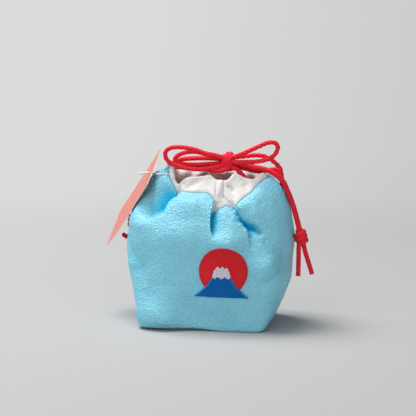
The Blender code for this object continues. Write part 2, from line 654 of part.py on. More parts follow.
def add_tag():
    """Hang tag: a card with rounded corners and one hole, turning on the plastic loop."""
    card = bpy.data.curves.new("hang_tag", "CURVE")
    card.dimensions = "2D"
    card.fill_mode = "BOTH"
    card.extrude = TAG_THICKNESS / 2.0
    hole_shift = TAG_HOLE_RADIUS - FILAMENT / 2.0 - GAP
    left = -TAG_HOLE_MARGIN + hole_shift
    right = left + TAG_LENGTH
    half = TAG_WIDTH / 2.0
    corners = ((left, -half), (right, -half), (right, half), (left, half))
    outline = []
    for index, (x, y) in enumerate(corners):
        inward_x = math.copysign(TAG_CORNER, (left + right) / 2.0 - x)
        inward_y = math.copysign(TAG_CORNER, -y)
        for step in range(TAG_CORNER_STEPS + 1):
            angle = math.pi + math.pi / 2.0 * (index + step / TAG_CORNER_STEPS)
            along = x + inward_x + TAG_CORNER * math.cos(angle)
            outline.append((along, y + inward_y + TAG_CORNER * math.sin(angle)))
    hole = []
    for step in range(HOLE_STEPS):
        angle = math.tau * step / HOLE_STEPS
        hole.append((hole_shift + TAG_HOLE_RADIUS * math.cos(angle), TAG_HOLE_RADIUS * math.sin(angle)))
    for loop in (outline, hole):
        spline = card.splines.new("POLY")
        spline.points.add(len(loop) - 1)
        spline.use_cyclic_u = True
        for target, (x, y) in zip(spline.points, loop):
            target.co = (x, y, 0.0, 1.0)
    piece = add_object("hang_tag", card, TAG_CARD, TAG_HINGE)
    long_axis = TAG_LONG_AXIS.normalized()
    normal = long_axis.cross(TAG_CROSS_AXIS).normalized()
    cross_axis = normal.cross(long_axis)
    piece.rotation_euler = Matrix((long_axis, cross_axis, normal)).transposed().to_euler()
    return piece


for old in list(bpy.data.objects):
    bpy.data.objects.remove(old, do_unlink=True)

POUCH = bpy.data.collections.new("drawstring_pouch")
bpy.context.scene.collection.children.link(POUCH)

BLUE_CREPE = make_material("blue_crepe", (0.20, 0.58, 0.75), 0.75)
WHITE_COTTON = make_material("white_cotton", (0.85, 0.80, 0.78), 0.85)
LINING_COTTON = make_material("lining_cotton", (0.72, 0.60, 0.48), 0.9)
RED_CORD = make_material("red_cord", (0.80, 0.012, 0.03), 0.7)
RED_THREAD = make_material("red_thread", (0.62, 0.02, 0.025), 0.55)
BLUE_THREAD = make_material("blue_thread", (0.0, 0.10, 0.38), 0.55)
WHITE_THREAD = make_material("white_thread", (0.75, 0.72, 0.80), 0.55)
TAG_CARD = make_material("tag_card", (0.90, 0.24, 0.20), 0.6)
CLEAR_PLASTIC = make_material("clear_plastic", (0.85, 0.85, 0.85), 0.3)

# The bag.
add_blue_panel("outer_front_panel", LEFT_SEAM_SHARE, RIGHT_SEAM_SHARE + 1.0, -1.0)
add_blue_panel("outer_back_panel", RIGHT_SEAM_SHARE, LEFT_SEAM_SHARE, 1.0)
add_base_panel()
add_yoke("snow_yoke_front", LEFT_SEAM_SHARE, RIGHT_SEAM_SHARE + 1.0)
add_yoke("snow_yoke_back", RIGHT_SEAM_SHARE, LEFT_SEAM_SHARE)
add_sheet("lining", LINING_COLUMNS, LINING_ROWS, place_lining, LINING_CLOTH, LINING_COTTON)

# The embroidery.
for name, columns, rows, place, thread in (
    ("embroidered_sun", SUN_COLUMNS, SUN_ROWS, place_sun, RED_THREAD),
    ("embroidered_mountain", MOUNTAIN_COLUMNS, MOUNTAIN_ROWS, place_mountain, BLUE_THREAD),
    ("embroidered_snow", MOUNTAIN_COLUMNS, SNOW_ROWS, place_snow, WHITE_THREAD),
):
    add_sheet(name, columns, rows, place, STITCH_THICKNESS, thread)

# The drawcords: round the channel, out of the slits, and tied over the mouth.
for name, seam, drop, corner, end in (
    ("right_cord_in_channel", RIGHT_SEAM_SHARE, UPPER_CORD_DROP, RIGHT_CORNER_ROUTE, RIGHT_EXIT_ROUTE),
    ("left_cord_in_channel", LEFT_SEAM_SHARE, LOWER_CORD_DROP, LEFT_CORNER_ROUTE, LEFT_EXIT_ROUTE),
):
    add_tube(name, channel_cord_points(seam, drop, corner, end), CORD, RED_CORD)
add_knot("bow_knot", BOW_CENTRE, BOW_HALF_SIZES, KNOT_POWER, KNOT_SEGMENTS, RED_CORD)
BOW_TOP = BOW_CENTRE.z + BOW_HALF_SIZES.z
LEFT_BOW_HINGE = Vector((BOW_CENTRE.x - BOW_HALF_SIZES.x - GAP, BOW_CENTRE.y, BOW_TOP))
RIGHT_BOW_HINGE = Vector((BOW_CENTRE.x + BOW_HALF_SIZES.x + GAP, BOW_CENTRE.y, BOW_TOP))
for name, route, hinge in (
    ("bow_loop_left_front", BOW_LOOP_LEFT_FRONT_ROUTE, LEFT_BOW_HINGE),
    ("bow_loop_left_rear", BOW_LOOP_LEFT_REAR_ROUTE, LEFT_BOW_HINGE),
    ("bow_loop_right_front", BOW_LOOP_RIGHT_FRONT_ROUTE, RIGHT_BOW_HINGE),
    ("bow_loop_right_small", BOW_LOOP_RIGHT_SMALL_ROUTE, None),
    ("left_lead_front", LEFT_LEAD_FRONT_ROUTE, None),
    ("left_lead_rear", LEFT_LEAD_REAR_ROUTE, None),
    ("right_lead_upper", RIGHT_LEAD_UPPER_ROUTE, None),
    ("right_lead_lower", RIGHT_LEAD_LOWER_ROUTE, None),
):
    add_tube(name, smooth_route(route), CORD, RED_CORD, hinge)
for name, route, lane, hinge in (
    ("right_tail_front_upper", RIGHT_TAIL_UPPER_ROUTE, RIGHT_TAIL_FRONT_LANE, None),
    ("right_tail_rear_upper", RIGHT_TAIL_UPPER_ROUTE, RIGHT_TAIL_REAR_LANE, None),
    ("right_tail_front_lower", RIGHT_TAIL_LOWER_ROUTE, RIGHT_TAIL_FRONT_LANE, RIGHT_TASSEL_HINGE),
    ("right_tail_rear_lower", RIGHT_TAIL_LOWER_ROUTE, RIGHT_TAIL_REAR_LANE, RIGHT_TASSEL_HINGE),
    ("left_tail_front_upper", LEFT_TAIL_UPPER_ROUTE, LEFT_TAIL_FRONT_LANE, None),
    ("left_tail_rear_upper", LEFT_TAIL_UPPER_ROUTE, LEFT_TAIL_REAR_LANE, None),
    ("left_tail_front_lower", LEFT_TAIL_LOWER_ROUTE, LEFT_TAIL_FRONT_LANE, LEFT_TASSEL_HINGE),
    ("left_tail_rear_lower", LEFT_TAIL_LOWER_ROUTE, LEFT_TAIL_REAR_LANE, LEFT_TASSEL_HINGE),
    ("right_tail_end_front", RIGHT_TAIL_END_FRONT_ROUTE, 0.0, RIGHT_TASSEL_HINGE),
    ("right_tail_end_rear", RIGHT_TAIL_END_REAR_ROUTE, 0.0, RIGHT_TASSEL_HINGE),
    ("left_tail_end_front", LEFT_TAIL_END_FRONT_ROUTE, 0.0, LEFT_TASSEL_HINGE),
    ("left_tail_end_rear", LEFT_TAIL_END_REAR_ROUTE, 0.0, LEFT_TASSEL_HINGE),
):
    add_tube(name, smooth_route(route, lane), CORD, RED_CORD, hinge)
for name, centre, hinge in (
    ("right_stopper_knot", RIGHT_STOPPER_CENTRE, RIGHT_TASSEL_HINGE),
    ("left_stopper_knot", LEFT_STOPPER_CENTRE, LEFT_TASSEL_HINGE),
):
    add_knot(name, centre, STOPPER_HALF_SIZES, STOPPER_POWER, STOPPER_SEGMENTS, RED_CORD, hinge)

# The hang tag and its plastic loop.
add_tag()
filament = [Vector(stop) * MM + Vector((0.0, 0.0, RIM_HEIGHT)) for stop in FILAMENT_ROUTE]
add_tube("tag_fastener", filament, FILAMENT, CLEAR_PLASTIC)
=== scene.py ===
"""Drawstring pouch: looks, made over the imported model."""
import math

import bmesh
import bpy
import numpy as np
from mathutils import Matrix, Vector, noise


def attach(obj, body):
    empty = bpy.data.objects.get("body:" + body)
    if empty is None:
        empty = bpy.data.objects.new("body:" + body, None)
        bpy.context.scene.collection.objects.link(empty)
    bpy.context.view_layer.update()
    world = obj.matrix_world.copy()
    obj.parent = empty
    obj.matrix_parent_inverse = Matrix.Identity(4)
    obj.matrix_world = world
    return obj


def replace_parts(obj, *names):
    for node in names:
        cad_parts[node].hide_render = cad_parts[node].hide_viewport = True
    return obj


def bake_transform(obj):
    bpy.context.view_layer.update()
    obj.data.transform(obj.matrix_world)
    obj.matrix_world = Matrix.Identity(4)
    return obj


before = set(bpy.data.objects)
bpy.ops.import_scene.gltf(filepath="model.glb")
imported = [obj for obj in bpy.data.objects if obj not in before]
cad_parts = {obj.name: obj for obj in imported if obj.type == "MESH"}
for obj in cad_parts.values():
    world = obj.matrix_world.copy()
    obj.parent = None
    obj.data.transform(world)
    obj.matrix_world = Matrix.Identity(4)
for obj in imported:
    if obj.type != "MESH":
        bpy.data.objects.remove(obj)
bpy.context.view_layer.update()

scene = bpy.context.scene


# Camera: it stands a metre away, a little to the pouch's right and a little above it, and looks at the middle
# of the picture, which lies above the pouch's base.
MM = 0.001
camera_turn, camera_rise, camera_distance = math.radians(10.0), math.radians(12.0), 1.0
aim_across, aim_up = -1.8 * MM, 77.6 * MM


def add_object(name, data):
    """Puts a mesh, a curve, a lamp or the camera in the scene."""
    made = bpy.data.objects.new(name, data)
    scene.collection.objects.link(made)
    return made


towards_camera = Vector((math.sin(camera_turn) * math.cos(camera_rise),
                         -math.cos(camera_turn) * math.cos(camera_rise), math.sin(camera_rise)))
camera_right = Vector((math.cos(camera_turn), math.sin(camera_turn), 0.0))
camera_up = towards_camera.cross(camera_right)
aim = camera_right * aim_across + camera_up * aim_up
camera = add_object("camera", bpy.data.cameras.new("camera"))
camera.location = towards_camera * camera_distance
camera.rotation_euler = (aim - camera.location).to_track_quat("-Z", "Y").to_euler()
camera.data.lens = 125.4
camera.data.sensor_width = 36.0
scene.camera = camera
scene.view_settings.view_transform = "Standard"


# Drawcords: two round braided red polyester cords, about 2.5 mm thick. Each runs round the mouth in its
# channel, comes out at its own side, is tied into one bow with the other and ends in a stopper knot.
CORD = 2.5 * MM
RIM_LEVEL = 100.5
BRAID_SIDES = 24
BRAID_STRANDS = 4.0
BRAID_PITCH = 1.8 * MM
BRAID_VALLEY, BRAID_SWELL = 0.98, 0.32
RING_STEP = 0.28 * MM


def fill(node, *firsts, **values):
    """Sets a node's first sockets in order, and its settings and sockets by name. An output is joined."""
    for key, value in values.items():
        if hasattr(node, key):
            setattr(node, key, value)
    sockets = list(zip(node.inputs, firsts))
    sockets += [(node.inputs[key.replace("_", " ")], value) for key, value in values.items()
                if not hasattr(node, key)]
    for socket, value in sockets:
        if isinstance(value, bpy.types.NodeSocket):
            node.id_data.links.new(value, socket)
        else:
            socket.default_value = value
    return node


def add_node(tree, kind, *firsts, **values):
    """A node of a kind, with its sockets and settings filled in."""
    return fill(tree.nodes.new(kind), *firsts, **values)


def new_finish(name, colour, roughness, **values):
    """A material with a Principled shader, and its node tree ready for more."""
    finish = bpy.data.materials.new(name)
    finish.use_nodes = True
    shader = finish.node_tree.nodes["Principled BSDF"]
    plain = {"Sheen_Weight": 0.0, "Sheen_Roughness": 0.5, "Specular_IOR_Level": 0.25}
    fill(shader, Base_Color=(*colour, 1.0), Roughness=roughness, **{**plain, **values})
    return finish, finish.node_tree, shader


def grain(tree, scale, detail, kind="ShaderNodeTexNoise", **values):
    """Height of a grain over the cloth in the object's own space, with its scale in features a metre."""
    if "Vector" not in values:
        values["Vector"] = add_node(tree, "ShaderNodeTexCoord").outputs["Object"]
    return add_node(tree, kind, Scale=scale, Detail=detail, **values).outputs[0]


def read_at_points(tree, name):
    """The value that a piece's mesh holds at each of its points under a name."""
    return add_node(tree, "ShaderNodeAttribute", attribute_name=name).outputs["Fac"]


def tint_by(tree, factor, dark, light, low, high):
    """A colour that runs from dark to light as a factor goes from low to high."""
    ramp = add_node(tree, "ShaderNodeMapRange", Value=factor, From_Min=low, From_Max=high)
    return add_node(tree, "ShaderNodeMix", data_type="RGBA", Factor=ramp.outputs["Result"], A=(*dark, 1.0),
                    B=(*light, 1.0)).outputs["Result"]


def add_bump(shader, height, distance, strength, under=None):
    """A bump on the shader from a height, laid over the one under it."""
    bump = add_node(shader.id_data, "ShaderNodeBump", Height=height, Distance=distance, Strength=strength)
    if under is not None:
        fill(bump, Normal=under)
    fill(shader, Normal=bump.outputs["Normal"])
    return bump.outputs["Normal"]


red_braid, tree, shader = new_finish("red_braided_cord", (0.88, 0.012, 0.034), 0.55, Sheen_Weight=0.12,
                                     Sheen_Tint=(1.0, 0.3, 0.3, 1.0))
# Painted shade: the red darkens towards its shade colour down in the valleys between the braid's strands.
relief = read_at_points(tree, "braid_relief")
fill(shader, Base_Color=tint_by(tree, relief, (0.42, 0.002, 0.010), (1.00, 0.016, 0.042), 0.0, 0.60))
add_bump(shader, grain(tree, 3800.0, 2.0), 0.12 * MM, 0.7)


def stops_to_line(stops, shift=(0.0, 0.0, 0.0), step=1.0):
    """Points a step apart on a smooth curve through stops, which are in millimetres from the rim's level."""
    places = [Vector(stop) + Vector(shift) + Vector((0.0, 0.0, RIM_LEVEL)) for stop in stops]
    places = [places[0] * 2.0 - places[1]] + places + [places[-1] * 2.0 - places[-2]]
    fine = []
    for index in range(1, len(places) - 2):
        before, start, end, after = places[index - 1:index + 3]
        for part in range(12):
            t = part / 12.0
            fine.append(0.5 * (2.0 * start + (end - before) * t
                               + (2.0 * before - 5.0 * start + 4.0 * end - after) * t * t
                               + (3.0 * start - before - 3.0 * end + after) * t ** 3))
    fine.append(places[-2])
    return evenly(np.array([point * MM for point in fine]), step * MM)


def evenly(points, step):
    """The same line with points at equal distances."""
    runs = np.linalg.norm(np.diff(points, axis=0), axis=1)
    along = np.concatenate([[0.0], np.cumsum(runs)])
    count = max(3, int(round(along[-1] / step)))
    wanted = np.linspace(0.0, along[-1], count + 1)
    return np.stack([np.interp(wanted, along, points[:, k]) for k in range(3)], axis=1)


def grid_faces(rows, columns, closed=False):
    """Four-sided faces between rows of points, which go all the way round where the rows are closed."""
    corners = [(k, (k + 1) % columns) for k in range(columns if closed else columns - 1)]
    return [(r * columns + a, r * columns + b, (r + 1) * columns + b, (r + 1) * columns + a)
            for r in range(rows - 1) for a, b in corners]


def make_piece(name, points, faces, finish, **readings):
    """A smooth piece from points in metres and faces, with the values that its finish reads at each point."""
    mesh = bpy.data.meshes.new(name)
    mesh.from_pydata(points.reshape(-1, 3).tolist(), [], faces)
    mesh.shade_smooth()
    mesh.materials.append(finish)
    for reading, values in readings.items():
        layer = mesh.attributes.new(reading, "FLOAT", "POINT")
        layer.data.foreach_set("value", values.reshape(-1).astype(np.float32))
    return add_object(name, mesh)


def braid_tube(name, line, thickness=CORD, ends=(True, True), soft_tip=0.7 * MM):
    """A braided cord along a line: rings whose radius follows the strands that cross over and under."""
    line = evenly(np.asarray(line), RING_STEP)
    along = np.gradient(line, axis=0)
    along /= np.linalg.norm(along, axis=1)[:, None]
    side = np.cross(along[0], (0.3, 1.0, 0.2))
    sides = []
    for direction in along:
        side = side - direction * np.dot(side, direction)
        side /= np.linalg.norm(side)
        sides.append(side)
    sides = np.array(sides)
    others = np.cross(along, sides)
    distance = np.arange(len(line)) * np.linalg.norm(line[1] - line[0])
    angle = np.arange(BRAID_SIDES) * math.tau / BRAID_SIDES
    turns = BRAID_STRANDS * angle / math.tau
    climb = distance[:, None] / (2.0 * BRAID_PITCH)
    over, under = np.abs(np.sin(math.pi * (turns + climb))), np.abs(np.sin(math.pi * (turns - climb)))
    relief = np.sqrt(over * under)
    tip = np.ones(len(line))
    for soft, reach in zip(ends, (distance, distance[-1] - distance)):
        if soft:
            near = np.clip(reach / soft_tip, 0.0, 1.0)
            tip *= np.sqrt(np.clip(1.0 - (1.0 - near) ** 2, 0.015, 1.0))
    radius = (thickness / 2.0) * (BRAID_VALLEY + BRAID_SWELL * relief) * tip[:, None]
    outwards = np.cos(angle)[:, None] * sides[:, None] + np.sin(angle)[:, None] * others[:, None]
    ring = line[:, None] + radius[..., None] * outwards
    faces = grid_faces(len(line), BRAID_SIDES, closed=True)
    faces.append(tuple(range(BRAID_SIDES))[::-1])
    faces.append(tuple((len(line) - 1) * BRAID_SIDES + k for k in range(BRAID_SIDES)))
    cord = make_piece(name, ring, faces, red_braid, braid_relief=relief)
    return cord


# Bow loops: two on the left and a long one on the right, which stand out from the knot,
# and a short loop of slack that has slipped down into the mouth.
LOOP_LEFT_FRONT = (
    (12, -6.6, 11.6), (9.4, -8, 13.2), (3.8, -8.6, 14.7), (-2.3, -8.9, 15.8), (-8.4, -9.1, 17.9),
    (-15.2, -9.2, 19.3), (-21.4, -9, 19.6), (-26.2, -8.6, 18.8), (-29.3, -8.2, 16.4), (-29.6, -7.9, 13.1),
    (-27.8, -7.9, 9.9), (-24.2, -8.2, 7.8), (-18, -8.7, 6), (-11.9, -9.2, 5.1), (-5.7, -9.2, 4.9),
    (1.1, -8.9, 5.8), (5.5, -8.5, 6.7), (9.4, -8, 7.6), (12, -6.8, 8.8),
)
LOOP_LEFT_REAR = (
    (12, -4.8, 11.2), (9.4, -5.4, 12), (2, -5.7, 13.6), (-4.2, -5.9, 15.4), (-9, -5.8, 16.3),
    (-13.8, -5.5, 16.2), (-18.6, -5.2, 15), (-22.4, -5, 13), (-23.6, -5, 10.4), (-21, -5.2, 8.5),
    (-15.9, -5.5, 7.7), (-7.6, -5.7, 7.7), (-1, -5.6, 8.2), (9.4, -5.4, 9), (12, -4.8, 9.6),
)
LOOP_RIGHT_FRONT = (
    (14, -6.6, 11.8), (16.6, -8, 13.4), (22, -8.7, 15.3), (28, -9, 18), (34.7, -8.9, 21.1),
    (39.4, -8.6, 23.2), (43.4, -8.2, 23.7), (46.1, -7.8, 22.5), (46.8, -7.6, 20), (45.8, -7.7, 17),
    (43.5, -7.9, 14.3), (39.1, -8.2, 12), (32.8, -8.5, 10.7), (26.7, -8.6, 10.3), (21, -8.5, 10.1),
    (16.6, -8, 10.2), (14, -6.8, 10),
)
LOOP_RIGHT_SMALL = (
    (13.2, -5.8, 8.6), (16.7, -7.4, 6.4), (18.6, -7.6, 5.6), (20.8, -7.1, 3.9), (22.8, -6, 1.4),
    (23.6, -4.6, -0.9), (23, -2.9, -2.1), (21.4, -2.3, -1.1), (20.4, -2.8, 1.5), (19.3, -3.6, 4.1),
    (18.2, -4, 5.2), (16.7, -4.1, 5.7), (13.6, -3.9, 7.6),
)
for name, stops, body, inner, outer in (
    ("bow_loop_left_front", LOOP_LEFT_FRONT, "bow_left", (10.5, -4.0, 10.0), (0.0, -4.0, 10.0)),
    ("bow_loop_left_rear", LOOP_LEFT_REAR, "bow_left", (10.5, -4.0, 10.0), (0.0, -4.0, 10.0)),
    ("bow_loop_right_front", LOOP_RIGHT_FRONT, "bow_right", (15.5, -4.0, 11.0), (26.0, -4.0, 11.0)),
    ("bow_loop_right_small", LOOP_RIGHT_SMALL, None, None, None),
):
    line = stops_to_line(stops)
    loop = braid_tube("cord_" + name, line)
    if body is None:
        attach(loop, "pouch")
    else:
        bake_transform(loop)
    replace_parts(loop, name)

# Leads: the two ends of each cord that rise out of their slit at the side and run over the rim to the knot.
# They are the same red braid, and nothing holds them but the slit and the knot.
LEAD_STOPS = {
    "left_lead_front": (
        (12, -3.2, 8), (9.4, -2.5, 6.9), (2, -2.5, 6.5), (-8, -2.3, 5.9), (-18, -1.6, 5.5), (-26, -0.6, 5.2),
        (-30.6, 0.6, 3.8), (-34.6, 1.4, 1.2), (-38.4, 1.7, -1.4), (-41.9, 1.7, -4.2),
    ),
    "left_lead_rear": (
        (12, -1.4, 8.2), (9.4, 0.2, 7), (2, 0.5, 6.5), (-8, 0.8, 5.7), (-18, 1.6, 5.1), (-26, 2.7, 4.6),
        (-30.6, 3.9, 3.2), (-34.6, 4.5, 0.8), (-38.4, 4.6, -1.6), (-41.9, 4.6, -4.2),
    ),
    "right_lead_upper": (
        (14, -1.4, 11.2), (16.6, 0.2, 12.4), (20.7, 0.4, 12.9), (25.4, 0.5, 13.5), (30.2, 0.8, 14),
        (34.9, 1.4, 13.7), (39, 2.2, 12.3), (42.9, 3.4, 9.5), (45.8, 4.4, 6.5), (47.2, 4.6, 4.1),
        (48.1, 4.6, -1.1),
    ),
    "right_lead_lower": (
        (14, -1.4, 8.6), (16.6, 0.2, 7.3), (20.8, 0.4, 5.6), (25.6, 0.4, 4.4), (30.4, 0.4, 3.4),
        (35, 0.5, 3.1), (40, 1.2, 4.1), (43.9, 1.6, 4.7), (46.6, 1.7, 3.5), (48.1, 1.7, -1.1),
    ),
}
for name, stops in LEAD_STOPS.items():
    line = stops_to_line(stops)
    lead = braid_tube("cord_" + name, line, ends=(True, False))
    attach(lead, "pouch")
    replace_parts(lead, name)

# Stopper knots: both strands of a tail are tied together in one overhand knot and pulled tight, which leaves
# two short ends. The strands are wound side by side over the core that they close on.
STOPPERS = {
    "right": (Vector((62.0, -2.0, RIM_LEVEL - 40.4)), -0.26, 2.6, -0.7),
    "left": (Vector((-57.6, 19.2, RIM_LEVEL - 34.5)), 0.30, 2.2, 0.5),
}
STOPPER_TURNS, STOPPER_GIRTH, STOPPER_RISE = 1.85, 3.1, 6.2
CORE_HALF = 5.0
WINDING_STEPS = 120
stopper_pieces = {}
for side, (centre, lean, phase, core_shift) in STOPPERS.items():
    axis = Vector((math.sin(lean), 0.0, math.cos(lean)))
    across = Vector((math.cos(lean), 0.0, -math.sin(lean)))
    stopper_pieces[side] = []
    for strand, lane in (("first", 1.25), ("second", -1.25)):
        wound = []
        for step in range(WINDING_STEPS + 1):
            share = step / WINDING_STEPS
            angle = phase - math.tau * STOPPER_TURNS * share
            girth = STOPPER_GIRTH - 1.2 * abs(2.0 * share - 1.0) ** 6
            out_of_core = across * math.cos(angle) + Vector((0.0, math.sin(angle), 0.0))
            along = STOPPER_RISE / 2.0 - STOPPER_RISE * share + lane
            wound.append((centre + out_of_core * girth + axis * along) * MM)
        turns = braid_tube("%s_stopper_%s_turns" % (side, strand), np.array(wound), 2.8 * MM,
                           soft_tip=1.2 * MM)
        stopper_pieces[side].append(turns)
    core_line = np.array([(centre + Vector((core_shift, 0.0, CORE_HALF))) * MM,
                          (centre + Vector((-0.2, 0.0, -CORE_HALF))) * MM])
    stopper_pieces[side].append(braid_tube("%s_stopper_core" % side, core_line, 4.6 * MM, soft_tip=1.6 * MM))
    for piece in stopper_pieces[side]:
        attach(piece, side + "_tassel")
    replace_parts(stopper_pieces[side][0], "%s_stopper_knot" % side)

# Tail ends: the ends of both strands below the stopper knot. The braid is cut off and heat-sealed there, so
# that it doesn't fray.
TAIL_ENDS = {
    "right_tail_end_front": (
        (61.7, -2.8, -43), (61, -3.4, -46), (60.9, -3.6, -53), (60.8, -3.7, -60.1), (60.7, -3.7, -67.1),
    ),
    "right_tail_end_rear": (
        (62.8, -1.2, -43), (63.8, -0.6, -46), (65.6, -0.5, -52.7), (67.8, -0.4, -59.5), (69.9, -0.4, -66.1),
    ),
    "left_tail_end_front": (
        (-57.9, 18.8, -38), (-58.4, 17.6, -41.1), (-59.4, 15.6, -44.5), (-61.2, 11.8, -45.5),
        (-63.2, 7.8, -43.5),
    ),
    "left_tail_end_rear": (
        (-57.4, 20, -38), (-57.4, 21.2, -40.9), (-57.8, 22.2, -47.7), (-57.8, 22.8, -54.7),
        (-57, 23.2, -61.7),
    ),
}
for name, stops in TAIL_ENDS.items():
    side = name.split("_")[0]
    end = braid_tube("cord_" + name, stops_to_line(stops), 2.6 * MM, soft_tip=0.5 * MM)
    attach(end, side + "_tassel")
    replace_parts(end, name)
    stopper_pieces[side].append(end)

# Tails: the strands of red braid that hang from the knot over each shoulder of the pouch, down to the stopper
# knot. They lie on the cloth.
RIGHT_TAIL = (
    (14, 3.6, 9.8), (16.6, 0.6, 9), (21.4, 0, 8.7), (26.1, 0, 7.8), (32.2, 0.2, 6.5), (37.3, 0.4, 5.5),
    (42.3, 0.7, 3.7), (47.1, 1, 0.5), (50.8, 1.2, -3.6), (53.2, 1.4, -8.9), (55.6, 1.6, -14.6),
    (57.6, 1.8, -20.6), (59.5, 2, -27.3), (61.1, 2, -33.6), (61.8, 2.2, -37.6),
)
LEFT_TAIL = (
    (12, -2.4, 10.6), (9.4, -0.4, 11.3), (0, 0.1, 11.7), (-10, 0.6, 11.5), (-20, 1.8, 10.4), (-27, 5, 7.4),
    (-32, 8.8, 2.9), (-36.4, 12.2, -2), (-40, 14.6, -5.6), (-43.6, 16.9, -12), (-48.4, 19.1, -20),
    (-52.2, 20.3, -24.3), (-55.9, 20.6, -29),
)
for side, strand, stops, shift in (
    ("right", "front", RIGHT_TAIL, (-0.5, -5.3, -0.3)),
    ("right", "rear", RIGHT_TAIL, (-0.3, -2.7, -0.2)),
    ("left", "front", LEFT_TAIL, (0.0, -2.5, 0.0)),
    ("left", "rear", LEFT_TAIL, (0.0, 0.4, 0.0)),
):
    line = stops_to_line(stops, shift)
    name = "%s_tail_%s" % (side, strand)
    tail = braid_tube("cord_" + name, line)
    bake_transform(tail)
    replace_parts(tail, name + "_upper", name + "_lower")

# Bow knot: the cord wrapped nearly three times round the gathered strands and pulled tight, with a slanting
# turn in front. The wraps close on a heart of strands, so that no gap shows between them.
BOW_CENTRE = Vector((13.0, -4.0, RIM_LEVEL + 10.0))
WRAP_STEPS = 180
WRAP_TURNS, WRAP_START = 2.75, 0.30
wrap = []
for step in range(WRAP_STEPS + 1):
    share = step / WRAP_STEPS
    angle = math.tau * (WRAP_TURNS * share + WRAP_START)
    swell = 1.0 + 0.10 * math.sin(math.pi * share)
    offset = Vector((-2.9 + 5.6 * share + 0.5 * math.sin(angle), 4.35 * swell * math.cos(angle),
                     4.75 * swell * math.sin(angle)))
    wrap.append((BOW_CENTRE + offset) * MM)
bow_wrap = braid_tube("bow_knot_wraps", np.array(wrap), 2.6 * MM, soft_tip=1.2 * MM)
lower_turn = stops_to_line(((-2.2, -5.6, 5.2), (1.0, -7.2, 4.4), (5.0, -8.6, 4.0), (9.2, -9.1, 4.4),
                            (12.6, -8.8, 5.6), (14.4, -7.4, 7.2)))
bow_turn = braid_tube("bow_knot_lower_turn", lower_turn, 2.7 * MM, soft_tip=1.2 * MM)
heart_line = np.array([(BOW_CENTRE + Vector((end, 0.0, 0.0))) * MM for end in (-3.4, 3.4)])
heart = braid_tube("bow_knot_heart", heart_line, 8.0 * MM)
for piece in (bow_wrap, bow_turn, heart):
    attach(piece, "pouch")
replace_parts(bow_wrap, "bow_knot")


# Outer bag: front and back cut from sky-blue crepe with a pebbled grain, sewn together at the sides and
# gathered to the mouth, with a white crepe yoke sewn in along a curved line at the top of each.
RIM_SHARES = (
    (0.028, 0.97), (0.111, 1.01), (0.194, 0.985), (0.264, 1.012), (0.333, 0.985), (0.403, 1.01),
    (0.472, 0.985), (0.505, 0.998), (0.545, 1.02), (0.56, 1.036), (0.57, 1.056), (0.583, 1.08),
    (0.595, 1.075), (0.611, 1.046), (0.64, 0.998), (0.655, 0.968), (0.665, 0.957), (0.672, 0.974),
    (0.681, 0.994), (0.693, 1.003), (0.712, 1.007), (0.73, 1.011), (0.742, 1.017), (0.752, 1.004),
    (0.764, 0.987), (0.783, 0.983), (0.793, 0.991), (0.803, 1.011), (0.815, 1.028), (0.825, 1.019),
    (0.836, 1.005), (0.861, 0.994), (0.886, 1.014), (0.93, 1.034), (0.953, 1.024), (0.985, 1),
)
SNOWLINE_SHARES = (
    (0.028, 1.12), (0.075, 0.975), (0.16, 0.9), (0.25, 0.83), (0.34, 0.9), (0.425, 0.975), (0.472, 1.12),
    (0.575, 1.12), (0.584, 1.092), (0.59, 1.062), (0.597, 1.038), (0.611, 1.014), (0.632, 0.983),
    (0.648, 0.959), (0.664, 0.924), (0.6786, 0.893), (0.6865, 0.911), (0.7165, 0.904), (0.7402, 0.904),
    (0.7504, 0.892), (0.7583, 0.876), (0.7623, 0.861), (0.7647, 0.829), (0.7665, 0.797), (0.7702, 0.806),
    (0.7797, 0.822), (0.7923, 0.833), (0.8002, 0.828), (0.8065, 0.819), (0.8089, 0.837), (0.8144, 0.857),
    (0.8255, 0.884), (0.8381, 0.905), (0.8586, 0.947), (0.8965, 0.987), (0.945, 1.012), (0.975, 1.12),
)
RIGHT_SEAM, LEFT_SEAM = 0.028, 0.472
HALF_WIDTH, HALF_DEPTH, BULGE_HEIGHT = 55.8, 37.0, 53.0
BACK_FULLNESS = 4.4


def read_shares(table, turn):
    """Value of a table of (place, value) at places round the bag, on a smooth curve through its points."""
    places, values = np.array(table).T
    places = np.concatenate([places - 1.0, places, places + 1.0])
    values = np.tile(values * RIM_LEVEL, 3)
    slopes = np.gradient(values, places)
    secants = np.diff(values) / np.diff(places)
    for index in range(1, len(slopes) - 1):
        before, after = secants[index - 1], secants[index]
        slopes[index] = 0.0 if before * after <= 0.0 else 2.0 * before * after / (before + after)
    place = np.mod(turn, 1.0)
    at = np.clip(np.searchsorted(places, place, side="right") - 1, 0, len(places) - 2)
    span = places[at + 1] - places[at]
    t = (place - places[at]) / span
    return ((2 * t ** 3 - 3 * t ** 2 + 1) * values[at] + (t ** 3 - 2 * t ** 2 + t) * span * slopes[at]
            + (-2 * t ** 3 + 3 * t ** 2) * values[at + 1] + (t ** 3 - t ** 2) * span * slopes[at + 1])


def rim_level(turn):
    """Height of the rim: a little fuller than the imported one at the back."""
    place = np.mod(turn, 1.0)
    back = BACK_FULLNESS * np.exp(-((place - 0.25) / 0.18) ** 4) * (1.0 + 0.22 * np.sin(place * 95.0))
    return read_shares(RIM_SHARES, turn) + back


def seam_distance(turn):
    """How far a place is from the nearer side seam, as a share of the whole way round the bag."""
    return np.minimum(*[np.abs(np.mod(turn - seam + 0.5, 1.0) - 0.5) for seam in (RIGHT_SEAM, LEFT_SEAM)])


def smooth_step(share):
    """A share that leaves 0 and reaches 1 softly."""
    share = np.clip(share, 0.0, 1.0)
    return share * share * (3.0 - 2.0 * share)


